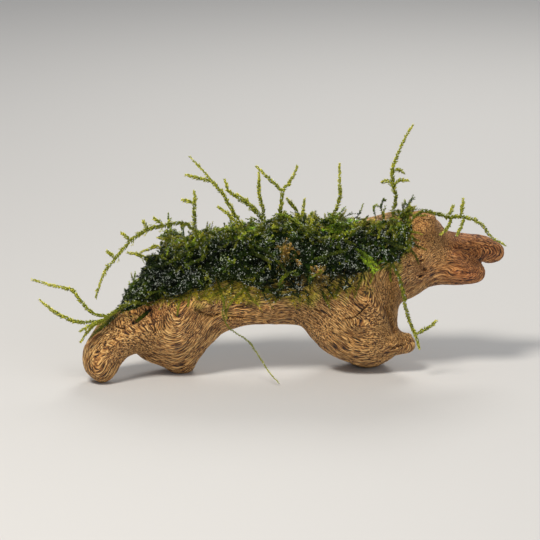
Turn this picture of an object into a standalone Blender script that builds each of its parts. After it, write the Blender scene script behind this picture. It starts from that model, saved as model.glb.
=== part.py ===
"""Java moss on a branching piece of driftwood that stands on its own three feet.

X runs along the wood, Y away from the front and Z up. The origin is under the middle of the whole piece, on
the surface that it stands on. Lengths in the tables are millimetres, and MM turns them into metres.
"""

import math

import bmesh
import bpy
import numpy as np
from mathutils import Vector, noise

MM = 0.001

# Driving dimensions, in millimetres
FIT_GAP = 0.3
ROOT_GAP = 0.5
SMALLEST_EDGE = 0.01
WOOD_GRID = 1.5
WOOD_ROUNDING = 7
WOOD_TRIANGLES = 3050
SWELL_WAVE = 34.0
SWELL = 1.6
LUMP_WAVE = 13.0
LUMP = 0.7
SECTION_POINTS = 18

# Each limb of the wood: x, y and z of the middle of its section, then half its height and half its depth.
# The feet come down to the ground in level sections, and there the fourth value is half the width along X.
LIMBS = {
    "left_arm": [
        (-89, -20, 4, 5, 6),
        (-86, -19, 7.5, 8, 8),
        (-83, -17, 15, 9.5, 9),
        (-77, -13, 21, 10.5, 10),
        (-68, -9, 25, 12, 11),
        (-60, -7, 27, 12, 11),
    ],
    "trunk": [
        (-73, -12, 22, 9, 9),
        (-60, -7, 26.5, 13.5, 12.5),
        (-46, -4, 31, 17, 14.5),
        (-33, -1, 36, 18, 15.5),
        (-18, 2, 40, 18, 17),
        (-3, 3, 43, 19.5, 17.5),
        (14, 4, 45, 22, 18.5),
        (32, 5, 48.5, 23.5, 19),
        (47, 6, 53.5, 23, 19.5),
        (62, 7, 57.5, 22.5, 19.5),
        (75, 9, 60, 20, 18),
        (83, 9, 59, 15, 14),
    ],
    "left_foot": [
        (-47, -4, 30, 22, 14),
        (-48, -4, 20, 22.5, 14),
        (-50, -3.5, 14, 19.5, 13),
        (-51, -2.5, 8, 15.5, 11.5),
        (-49, -1, 4.5, 11, 9.5),
        (-46.5, 0, 1.5, 7.5, 7.5),
        (-45, 1, -3, 5, 6),
    ],
    "right_foot": [
        (40, 4, 40, 24, 18),
        (40, 4, 24, 24.5, 18),
        (42.5, 4, 16, 21.5, 17.5),
        (45, 4.5, 11, 19.5, 17),
        (47, 6, 7, 15.5, 15.5),
        (48, 9, 3.8, 11, 12.5),
        (49, 12.5, 1.2, 8, 9),
        (49, 14, -3, 6, 7.5),
    ],
    "lip": [
        (50, 1, 15, 8, 10),
        (61, -1, 15, 6.5, 9),
        (68, -2, 15, 5.5, 7),
        (73, -2, 15.5, 3.5, 4),
    ],
    "crown": [
        (60, 4, 62, 17, 13),
        (70, 2, 70, 12, 12),
        (76, -2, 75, 9, 9),
        (80, -4, 74, 7, 8),
    ],
    "upper_branch": [
        (76, 10, 66, 12, 12),
        (87, 11, 62, 7.5, 10),
        (99, 13, 61, 7.5, 8.5),
        (110, 15, 58.5, 6.5, 6.5),
        (117, 16, 57, 4, 4.5),
    ],
    "lower_branch": [
        (70, 7, 55, 15, 14),
        (85, 5, 53.5, 11, 12),
        (95, 3, 52, 9, 10),
        (104, 2, 51.5, 6.5, 7),
        (108, 2, 51.5, 3, 4),
    ],
}

LEVEL_LIMBS = ("left_foot", "right_foot")

# Hollows and bosses of the wood: x, y and z of the middle, the three half widths, and how far it moves.
WOOD_MARKS = {
    "knot_hollow": ((-63, -19, 36), (7, 7, 5), -3.2),
    "knot_rim": ((-63, -18, 29), (9, 7, 3), 1.4),
    "arm_ridge": ((-78, -16, 30), (11, 5, 3.5), 2.0),
    "arm_crack": ((-77, -19, 25), (2, 6, 5), -1.6),
    "ledge": ((-34, -18, 40), (10, 7, 3.2), 3.0),
    "under_ledge": ((-32, -18, 33.5), (11, 7, 3), -1.6),
    "foot_boss": ((-50, -18, 18), (13, 6, 9), 1.2),
    "waist_hollow": ((0, -14, 31), (16, 7, 6), -1.2),
    "column_groove": ((59, -14, 40), (2.4, 9, 17), -3.0),
    "column": ((63.5, -12, 35), (2.6, 8, 15), 1.6),
    "column_hollow": ((60, -14, 24), (2.6, 8, 6), -2.6),
    "lobe_swirl": ((44, -15, 24), (7, 6, 5), -1.0),
    "shoulder_pit": ((76, -10, 55), (5, 6, 4), -2.2),
    "crown_notch": ((67, -8, 77), (4, 6, 5), -1.8),
    "branch_crevice": ((100, 2, 58), (9, 6, 2.4), -3.0),
    "back_hollow": ((20, 22, 40), (14, 7, 11), -3.4),
    "back_boss": ((-22, 18, 34), (13, 7, 9), 2.4),
    "back_ledge": ((58, 24, 58), (14, 7, 5), 2.6),
    "back_furrow": ((-52, 11, 30), (16, 7, 3.5), -2.4),
}

# Saw lines at the forks, as x and z of their two ends. Each runs right through the wood.
FORKS = {
    "left_arm": ((-70, -4), (-79, 46)),
    "left_foot": ((-73.5, 10.5), (-17, 21)),
    "right_foot": ((13, 18), (72, 34)),
    "crown": ((40, 81), (86.3, 63)),
    "branches": ((86, 36), (86, 78)),
    "between_branches": ((85.5, 60), (122, 47.5)),
}

# One point well inside each piece of the wood, which tells the sawn pieces apart.
WOOD_PIECES = {
    "driftwood_left_arm": (-83, -17, 15),
    "driftwood_left_foot": (-49, -4, 8),
    "driftwood_trunk": (0, 2, 44),
    "driftwood_right_foot": (44, 5, 12),
    "driftwood_crown": (74, 0, 75),
    "driftwood_upper_branch": (100, 13, 61),
    "driftwood_lower_branch": (94, 3, 51),
}

# The mat of moss along the trunk: x, its thickness on top, in front and behind, and the angles round the
# trunk, from the front over the top, at which its front and back edges lie.
MAT = [
    (-73.5, 6, 3, 4, 68, 124),
    (-70, 11, 4, 5, 62, 150),
    (-62, 18, 6, 8, 56, 165),
    (-52, 18, 6, 9, 50, 172),
    (-42, 15.5, 6, 8, 42, 178),
    (-32, 14, 6, 7, 30, 184),
    (-20, 12, 5, 6, 8, 190),
    (-10, 11, 5, 6, -6, 192),
    (2, 10.5, 5, 6, -6, 190),
    (12, 9, 5, 6, -4, 186),
    (22, 7, 5.5, 6, -8, 180),
    (32, 5, 6, 5, -12, 172),
    (42, 4, 6, 5, -8, 160),
    (52, 3.5, 6, 4, 2, 140),
    (62, 3, 6, 3, 14, 112),
    (70, 2, 3, 2, 38, 90),
]
MAT_STEP = 4.6
MAT_POINTS = 11
MAT_LUMP = 0.55
MAT_LUMP_WAVE = 9.0
MAT_EDGE_WAVE = 12.0
MAT_EDGE_SWING = 14.0
MAT_PARTS = {
    "moss_left_clump": (-80, -28),
    "moss_middle_clump": (-28, 20),
    "moss_right_clump": (20, 80),
}
TUFTS_EACH = {"moss_left_clump": 8, "moss_middle_clump": 9, "moss_right_clump": 8}
TUFT_LENGTH = (6.0, 11.0)
TUFT_RADIUS = 1.3
TUFT_ROOT = 2.0
TUFT_CLEARANCE = 4.0
TUFT_SEED = 16

# Long shoots that stand clear of the mat. The first path is the stem, from root to tip, and the others are
# its side branches.
SHOOTS = {
    "shoot_tall_left": [
        [(-10, 0, 66), (-13, 0, 73), (-18, -1, 81), (-22, -2, 89), (-29, -4, 99), (-40, -6, 112)],
        [(-29, -4, 99), (-36, -5, 101), (-42, -7, 103)],
    ],
    "shoot_leaning": [[(-1, 6, 71), (-6, 7, 79), (-14, 8, 86), (-21, 8, 91), (-23, 8, 97)]],
    "shoot_leaning_back": [[(-1, 13, 70), (-6, 14, 78), (-11, 15, 83), (-17, 15, 88)]],
    "shoot_short_front": [[(-10, -10, 68), (-15, -10, 77), (-20, -11, 83), (-26, -12, 88)]],
    "shoot_forked": [
        [(3, 1, 70), (4, 1, 79), (5, 0, 86), (6, 0, 93), (10, 0, 99), (13, -1, 106)],
        [(6, 0, 93), (0, -1, 99), (-7, -2, 106)],
    ],
    "shoot_upright_back": [[(-3, 10, 68), (-4, 10, 81), (-6, 10, 91), (-6, 11, 100)]],
    "shoot_short_middle": [[(17, 6, 70), (14, 6, 79), (11, 6, 84), (8, 5, 88)]],
    "shoot_upright_left": [
        [(-37, -2, 62), (-38, -3, 77), (-38, -3, 87), (-38, -4, 94)],
        [(-38, -3, 87), (-41, -4, 89), (-44, -5, 90)],
    ],
    "shoot_arching_left": [
        [
            (-34, -6, 64),
            (-38, -8, 75),
            (-44, -9, 79),
            (-53, -10, 78),
            (-61, -11, 76),
            (-69, -12, 71),
            (-77, -13, 62),
            (-83, -14, 54),
            (-87, -14, 42),
        ],
        [(-53, -10, 78), (-58, -11, 82)],
        [(-61, -11, 76), (-63, -12, 81)],
        [(-69, -12, 71), (-74, -13, 75)],
        [(-77, -13, 62), (-81, -14, 66)],
    ],
    "shoot_low_left": [[(-58, 7, 52), (-64, 9, 57), (-72, 10, 59)]],
    "shoot_side_left": [[(-42, 4, 58), (-46, 4, 66), (-52, 4, 67), (-57, 5, 68)]],
    "frond_left": [
        [(-60, -13, 38), (-68, -19, 41), (-76, -22, 38), (-82, -24, 34), (-89, -26, 30), (-94, -27, 23)],
        [(-82, -24, 34), (-88, -27, 32), (-94, -29, 29)],
        [(-80, -23, 35), (-88, -24, 37), (-94, -23, 43), (-98, -22, 48), (-107, -21, 50), (-118, -20, 53)],
        [(-84, -24, 33), (-94, -23, 32), (-100, -24, 34), (-107, -25, 38), (-114, -25, 44)],
    ],
    "shoot_straight_right": [[(27, 2, 68), (30, 2, 77), (34, 1, 88), (34, 0, 96), (34, 0, 107)]],
    "shoot_tall_right": [
        [
            (60, 1, 76),
            (61, 1, 83),
            (62, 1, 90),
            (61, 0, 96),
            (60, 0, 103),
            (62, 0, 110),
            (66, -1, 120),
            (70, -2, 127),
        ],
        [(61, 0, 95), (58, 1, 98), (55, 2, 97)],
        [(61, 0, 96), (64, -1, 99), (68, -2, 99)],
        [(60, 0, 103), (63, 1, 104), (66, 2, 102)],
    ],
    "shoot_trailing_right": [
        [
            (66, -8, 76),
            (74, -10, 85),
            (82, -10, 84),
            (88, -9, 82),
            (95, -8, 82),
            (104, -6, 78),
            (109, -3, 71),
            (117, 1, 65),
        ],
        [(89, -9, 82), (88, -10, 78), (84, -12, 74)],
        [(96, -8, 82), (94, -9, 77), (92, -10, 73)],
        [(88, -9, 82), (90, -9, 88)],
        [(94, -8, 82), (95, -8, 91)],
    ],
    "shoot_hanging_right": [
        [(58, -12, 62), (62, -19, 57), (65, -19, 48), (67, -18, 37), (70, -17, 28), (72, -16, 23), (74, -15, 16)],
        [(72, -16, 24), (78, -16, 27), (82, -17, 31)],
    ],
    "shoot_hanging_middle": [
        [
            (-22, -15, 44),
            (-24, -19, 35),
            (-20, -21, 28),
            (-12, -23, 23),
            (-8, -24, 18),
            (-4, -25, 12),
            (0, -26, 6),
            (4, -26, 1.2),
        ],
    ],
    "shoot_back_left": [[(-44, 14, 50), (-50, 21, 56), (-58, 25, 58), (-66, 26, 55)]],
    "shoot_back_middle": [[(6, 18, 58), (10, 25, 64), (15, 28, 72), (17, 28.5, 82)]],
    "shoot_back_hanging": [[(-14, 18, 44), (-14, 25, 38), (-10, 28, 28), (-6, 29, 20)]],
}
SHOOT_RADIUS = 1.15
SIDE_RADIUS = 0.95
TIP_RADIUS = 0.55
SHOOT_SIDES = 4
SHOOT_STEPS = 2

# Name: base colour and roughness
MATERIALS = {
    "driftwood": ((0.42, 0.25, 0.12), 0.72),
    "driftwood_red": ((0.36, 0.18, 0.09), 0.72),
    "moss_mat": ((0.03, 0.09, 0.02), 0.55),
    "moss_shoot": ((0.16, 0.27, 0.05), 0.45),
}


def clear_scene():
    for old in list(bpy.data.objects):
        bpy.data.objects.remove(old, do_unlink=True)


def material(name):
    """The Principled material of that name, made once."""
    made = bpy.data.materials.get(name)
    if made is None:
        colour, roughness = MATERIALS[name]
        made = bpy.data.materials.new(name)
        made.use_nodes = True
        shader = made.node_tree.nodes["Principled BSDF"]
        shader.inputs["Base Color"].default_value = (*colour, 1.0)
        shader.inputs["Roughness"].default_value = roughness
        shader.inputs["Metallic"].default_value = 0.0
    return made


def through(rows, steps):
    """Rows on the smooth curve that passes through the given rows, with steps intervals between two of them."""
    rows = np.array(rows, float)
    padded = np.vstack([2 * rows[0] - rows[1], rows, 2 * rows[-1] - rows[-2]])
    found = []
    for index in range(1, len(padded) - 2):
        before, start, end, after = padded[index - 1 : index + 3]
        for part in range(steps):
            t = part / steps
            bend = 2 * before - 5 * start + 4 * end - after
            turn = 3 * start - before - 3 * end + after
            found.append(start + 0.5 * ((end - before) * t + bend * t**2 + turn * t**3))
    found.append(rows[-1])
    return np.array(found)


def add_rings(mesh, rings):
    """Bridges closed rings of points into one closed tube with a face at each end."""
    loops = [[mesh.verts.new(Vector(point) * MM) for point in ring] for ring in rings]
    count = len(loops[0])
    for low, high in zip(loops, loops[1:]):
        for side in range(count):
            beside = (side + 1) % count
            mesh.faces.new((low[side], low[beside], high[beside], high[side]))
    mesh.faces.new(loops[0][::-1])
    mesh.faces.new(loops[-1])


def finish_mesh(mesh, name):
    """Links the modelled mesh to the scene as an object whose faces point outwards."""
    bmesh.ops.recalc_face_normals(mesh, faces=mesh.faces)
    data = bpy.data.meshes.new(name)
    mesh.to_mesh(data)
    mesh.free()
    made = bpy.data.objects.new(name, data)
    bpy.context.scene.collection.objects.link(made)
    return made


def settle(made):
    """Replaces the object's mesh by what its modifiers make of it."""
    bpy.context.view_layer.update()
    graph = bpy.context.evaluated_depsgraph_get()
    old = made.data
    made.data = bpy.data.meshes.new_from_object(made.evaluated_get(graph))
    made.modifiers.clear()
    bpy.data.meshes.remove(old)


def boolean(made, other, operation):
    step = made.modifiers.new(operation.lower(), "BOOLEAN")
    step.operation = operation
    step.solver = "EXACT"
    step.object = other
    settle(made)


def remove(made):
    data = made.data
    bpy.data.objects.remove(made, do_unlink=True)
    bpy.data.meshes.remove(data)


def copy_of(made, name):
    double = bpy.data.objects.new(name, made.data.copy())
    bpy.context.scene.collection.objects.link(double)
    return double


def grown(made, distance):
    """A copy of the object, larger by the distance on every side."""
    double = copy_of(made, made.name + "_grown")
    push = double.modifiers.new("push", "DISPLACE")
    push.strength = distance * MM
    push.mid_level = 0.0
    settle(double)
    return double


def block(name, low, high):
    mesh = bmesh.new()
    bmesh.ops.create_cube(mesh, size=1.0)
    for vert in mesh.verts:
        vert.co = Vector([(a + b) / 2 + (b - a) * c for a, b, c in zip(low, high, vert.co)]) * MM
    return finish_mesh(mesh, name)


def islands(made):
    """The sets of faces of the object that hang together, largest first."""
    mesh = bmesh.new()
    mesh.from_mesh(made.data)
    seen = set()
    found = []
    for seed in mesh.verts:
        if seed.index in seen:
            continue
        seen.add(seed.index)
        group = [seed]
        for vert in group:
            for edge in vert.link_edges:
                other = edge.other_vert(vert)
                if other.index not in seen:
                    seen.add(other.index)
                    group.append(other)
        found.append({vert.index for vert in group})
    mesh.free()
    return sorted(found, key=len, reverse=True)


def keep_island(made, island):
    """Deletes all of the object but one set of its vertices."""
    mesh = bmesh.new()
    mesh.from_mesh(made.data)
    doomed = [vert for vert in mesh.verts if vert.index not in island]
    bmesh.ops.delete(mesh, geom=doomed, context="VERTS")
    mesh.to_mesh(made.data)
    mesh.free()


def limb_rings(stations, level):
    """Elliptical sections, level or square to the limb's line, with the depth of each close to the Y axis."""
    rows = through(stations, 4)
    lines = np.gradient(rows[:, :3], axis=0)
    if level:
        lines = np.tile((0.0, 0.0, -1.0), (len(rows), 1))
    rings = []
    for row, line in zip(rows, lines):
        along = Vector(line).normalized()
        depth = (Vector((0, 1, 0)) - along * along.y).normalized()
        height = depth.cross(along)
        ring = []
        for point in range(SECTION_POINTS):
            turn = math.tau * point / SECTION_POINTS
            offset = height * row[3] * math.cos(turn) + depth * row[4] * math.sin(turn)
            ring.append(Vector(row[:3]) + offset)
        rings.append(ring)
    return rings


def wave(place, length, shift):
    """Smooth noise from -1 to 1 with lumps of about that length."""
    return noise.noise(place / length + Vector((shift, shift * 0.7, -shift)))


def mark_depth(place):
    """How far the hollows and bosses move the surface at a place, in millimetres."""
    moved = 0.0
    for middle, widths, depth in WOOD_MARKS.values():
        apart = [(a - b) / c for a, b, c in zip(place, middle, widths)]
        moved += depth * math.exp(-1.2 * sum(part * part for part in apart))
    return moved


def model_wood():
    """The whole piece of driftwood, standing flat on its feet, before it is sawn at the forks."""
    mesh = bmesh.new()
    for name, stations in LIMBS.items():
        add_rings(mesh, limb_rings(stations, name in LEVEL_LIMBS))
    wood = finish_mesh(mesh, "whole_wood")
    merge = wood.modifiers.new("merge", "REMESH")
    merge.mode = "VOXEL"
    merge.voxel_size = WOOD_GRID * MM
    soften = wood.modifiers.new("soften", "SMOOTH")
    soften.factor = 0.5
    soften.iterations = WOOD_ROUNDING
    settle(wood)

    mesh = bmesh.new()
    mesh.from_mesh(wood.data)
    mesh.normal_update()
    moves = []
    for vert in mesh.verts:
        place = vert.co / MM
        swell = SWELL * wave(place, SWELL_WAVE, 3.1) + LUMP * wave(place, LUMP_WAVE, 7.7)
        moves.append(vert.normal * (swell + mark_depth(place)) * MM)
    for vert, move in zip(mesh.verts, moves):
        vert.co += move
    mesh.to_mesh(wood.data)
    mesh.free()

    thin = wood.modifiers.new("thin", "DECIMATE")
    thin.ratio = WOOD_TRIANGLES / (2 * len(wood.data.polygons))
    thin.use_collapse_triangulate = True
    settle(wood)
    ground = block("ground", (-200, -200, -60), (200, 200, 0))
    boolean(wood, ground, "DIFFERENCE")
    remove(ground)
    return wood


def saw(name, line):
    """A thin plate along one fork, as deep as the wood."""
    start, end = (Vector((x, 0, z)) for x, z in line)
    across = (end - start).cross(Vector((0, 1, 0))).normalized() * FIT_GAP / 2
    ring = [start + across, end + across, end - across, start - across]
    mesh = bmesh.new()
    add_rings(mesh, [[corner + Vector((0, y, 0)) for corner in ring] for y in (-60, 60)])
    return finish_mesh(mesh, name)


def centre_of(made, island):
    places = [made.data.vertices[index].co / MM for index in island]
    return sum(places, Vector()) / len(places)


def split_wood(wood):
    """Saws a copy of the wood at its forks and keeps each piece as an object of its own."""
    sawn = copy_of(wood, "sawn_wood")
    for name, line in FORKS.items():
        plate = saw("saw_" + name, line)
        boolean(sawn, plate, "DIFFERENCE")
        remove(plate)
    parts = islands(sawn)[: len(WOOD_PIECES)]
    pieces = {}
    for name, inside in WOOD_PIECES.items():
        nearest = min(parts, key=lambda part: (centre_of(sawn, part) - Vector(inside)).length)
        pieces[name] = copy_of(sawn, name)
        keep_island(pieces[name], nearest)
    remove(sawn)
    return pieces


def mat_section(row, shape):
    """One section of the mat: its outer curve over the trunk, closed by a line inside the wood."""
    x, top, front, back, start, end = row
    y, z, height, depth = shape
    start += MAT_EDGE_SWING * wave(Vector((x, 0, 0)), MAT_EDGE_WAVE, 4.3)
    ring = []
    for point in range(MAT_POINTS):
        share = point / (MAT_POINTS - 1)
        angle = math.radians(start + (end - start) * share)
        forward, up = math.cos(angle), math.sin(angle)
        side = front if forward > 0 else back
        thick = top * max(up, 0.0) ** 1.5 + side * abs(forward) ** 1.5
        thick *= min(1.0, 0.35 + 2.6 * min(share, 1 - share))
        reach = 1 / math.hypot(forward / depth, up / height)
        place = Vector((x, y - forward * reach, z + up * reach))
        lump = 1 + MAT_LUMP * (wave(place, MAT_LUMP_WAVE, 1.9) + 0.6 * wave(place, MAT_LUMP_WAVE / 2, 5.3))
        reach += thick * lump * 1.05
        ring.append(Vector((x, y - forward * reach, z + up * reach)))
    for angle in (math.radians(end), math.radians(start)):
        forward, up = math.cos(angle), math.sin(angle)
        reach = 0.55 / math.hypot(forward / depth, up / height)
        ring.append(Vector((x, y - forward * reach, z + up * reach)))
    return ring


def trunk_at(x):
    """The trunk's y and z, half height and half depth at x."""
    rows = np.array(LIMBS["trunk"], float)
    return [np.interp(x, rows[:, 0], rows[:, column]) for column in range(1, 5)]


def tube_rings(points, root, tip):
    """Rings round a smooth line through the points, from the root radius to the tip radius."""
    rows = through(points, SHOOT_STEPS)
    lines = np.gradient(rows, axis=0)
    side = Vector((0, 1, 0))
    rings = []
    for index, (row, line) in enumerate(zip(rows, lines)):
        along = Vector(line).normalized()
        side = (side - along * side.dot(along)).normalized()
        other = along.cross(side)
        radius = root + (tip - root) * index / (len(rows) - 1)
        ring = []
        for corner in range(SHOOT_SIDES):
            turn = math.tau * corner / SHOOT_SIDES
            ring.append(Vector(row) + (side * math.cos(turn) + other * math.sin(turn)) * radius)
        rings.append(ring)
    return rings


def tuft_lines(rings, count, draw, taken):
    """Root and tip of each short tuft on the mat, clear of the long shoots and of the tufts before it."""
    found = []
    while len(found) < count:
        here = rings[draw.integers(1, len(rings) - 1)][draw.integers(2, MAT_POINTS - 2)]
        outward = (here - Vector((here.x, *trunk_at(here.x)[:2]))).normalized()
        lean = Vector(draw.uniform(-0.5, 0.5, 3))
        tip = here + (outward + lean).normalized() * draw.uniform(*TUFT_LENGTH)
        line = [here.lerp(tip, share) for share in (0, 0.5, 1)]
        if all((point - other).length > TUFT_CLEARANCE for point in line for other in taken):
            taken.extend(line)
            found.append([here - outward * TUFT_ROOT, tip])
    return found


def model_mat(wood_grown):
    """The clumps of moss, cut to lie on the wood, each with its short tufts, and a slightly larger copy of
    each one without its tufts, which cuts the long shoots."""
    draw = np.random.default_rng(TUFT_SEED)
    taken = [Vector(row) for paths in SHOOTS.values() for path in paths for row in through(path, 3)]
    clumps = {}
    covers = []
    for name, (left, right) in MAT_PARTS.items():
        rows = np.array(MAT, float)
        first = max(left, rows[0, 0]) + (FIT_GAP / 2 if left > rows[0, 0] else 0)
        last = min(right, rows[-1, 0]) - (FIT_GAP / 2 if right < rows[-1, 0] else 0)
        rings = []
        for x in np.linspace(first, last, round((last - first) / MAT_STEP) + 1):
            row = [np.interp(x, rows[:, 0], rows[:, column]) for column in range(6)]
            rings.append(mat_section(row, trunk_at(x)))
        mesh = bmesh.new()
        add_rings(mesh, rings)
        bmesh.ops.triangulate(mesh, faces=mesh.faces)
        clump = finish_mesh(mesh, name)
        covers.append(grown(clump, ROOT_GAP))
        for line in tuft_lines(rings, TUFTS_EACH[name], draw, taken):
            mesh = bmesh.new()
            add_rings(mesh, tube_rings(line, TUFT_RADIUS, TIP_RADIUS)[::2])
            tuft = finish_mesh(mesh, "tuft")
            boolean(clump, tuft, "UNION")
            remove(tuft)
        for x in (left, right):
            wall = block("wall", (x - FIT_GAP / 2, -90, -10), (x + FIT_GAP / 2, 90, 190))
            boolean(clump, wall, "DIFFERENCE")
            remove(wall)
        boolean(clump, wood_grown, "DIFFERENCE")
        keep_island(clump, islands(clump)[0])
        clumps[name] = clump
    return clumps, covers


def model_shoot(name, paths, soil):
    """One long shoot with its side branches, cut off where it comes out of what it grows from."""
    mesh = bmesh.new()
    add_rings(mesh, tube_rings(paths[0], SHOOT_RADIUS, TIP_RADIUS))
    shoot = finish_mesh(mesh, name)
    for path in paths[1:]:
        mesh = bmesh.new()
        add_rings(mesh, tube_rings(path, SIDE_RADIUS, TIP_RADIUS))
        side = finish_mesh(mesh, "side")
        boolean(shoot, side, "UNION")
        remove(side)
    for ground in soil:
        boolean(shoot, ground, "DIFFERENCE")
    keep_island(shoot, islands(shoot)[0])
    return shoot


def dress(made, finish):
    """Gives a finished object plain triangles, its material and smooth shading."""
    mesh = bmesh.new()
    mesh.from_mesh(made.data)
    bmesh.ops.dissolve_degenerate(mesh, dist=SMALLEST_EDGE * MM, edges=mesh.edges)
    bmesh.ops.triangulate(mesh, faces=mesh.faces)
    mesh.to_mesh(made.data)
    mesh.free()
    made.data.materials.clear()
    made.data.materials.append(material(finish))
    made.data.shade_smooth()
    made.data.set_sharp_from_angle(angle=math.radians(50))


def main():
    clear_scene()
    wood = model_wood()
    wood_grown = grown(wood, FIT_GAP)
    for name, piece in split_wood(wood).items():
        dress(piece, "driftwood_red" if name.endswith("branch") else "driftwood")
    clumps, covers = model_mat(wood_grown)
    soil = [wood_grown, *covers]
    for name, paths in SHOOTS.items():
        dress(model_shoot(name, paths, soil), "moss_shoot")
    for clump in clumps.values():
        dress(clump, "moss_mat")
    for helper in [wood, *soil]:
        remove(helper)


main()
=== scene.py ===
"""The looks of the java moss on driftwood: the ribbed, weathered wood, the dense mats of moss on it and the
long leafy shoots, over a pale floor.

Lengths in the tables are millimetres, in the same frame as the solids: X along the wood, Y away from the
front, Z up. Places on the front of the wood are given as x and rise, and rise is the height at which the
place shows in a view from the front that looks 15 degrees down.
"""

import itertools
import math

import bmesh
import bpy
import numpy as np
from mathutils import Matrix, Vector
from mathutils.bvhtree import BVHTree


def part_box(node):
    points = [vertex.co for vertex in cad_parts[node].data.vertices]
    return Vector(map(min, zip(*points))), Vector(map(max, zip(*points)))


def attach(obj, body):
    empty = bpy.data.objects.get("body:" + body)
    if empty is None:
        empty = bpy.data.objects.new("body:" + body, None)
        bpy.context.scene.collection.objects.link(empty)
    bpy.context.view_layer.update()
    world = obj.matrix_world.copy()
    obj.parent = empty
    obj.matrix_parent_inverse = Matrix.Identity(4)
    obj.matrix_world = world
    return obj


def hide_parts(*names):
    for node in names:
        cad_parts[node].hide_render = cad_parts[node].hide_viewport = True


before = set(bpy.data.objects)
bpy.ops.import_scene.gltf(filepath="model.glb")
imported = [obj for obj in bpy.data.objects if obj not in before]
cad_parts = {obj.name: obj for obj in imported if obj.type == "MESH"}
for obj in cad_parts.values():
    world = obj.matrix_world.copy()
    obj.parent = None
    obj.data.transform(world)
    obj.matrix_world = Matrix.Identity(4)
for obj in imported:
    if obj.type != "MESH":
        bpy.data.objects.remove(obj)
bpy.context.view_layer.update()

MM = 0.001
VIEW_DOWN = math.radians(15)
MERGE_WITHIN = 0.00001

WOOD_NODES = [
    "driftwood_left_arm",
    "driftwood_left_foot",
    "driftwood_trunk",
    "driftwood_right_foot",
    "driftwood_crown",
    "driftwood_upper_branch",
    "driftwood_lower_branch",
]
# The wood's mesh: its grid, how far its pieces swell to join across the forks, how often it is smoothed and
# how many triangles are left of it.
WOOD_GRID = 1.05
FORK_OVERLAP = 0.25
WOOD_SOFTENING = 24
WOOD_TRIANGLES = 192000

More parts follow.
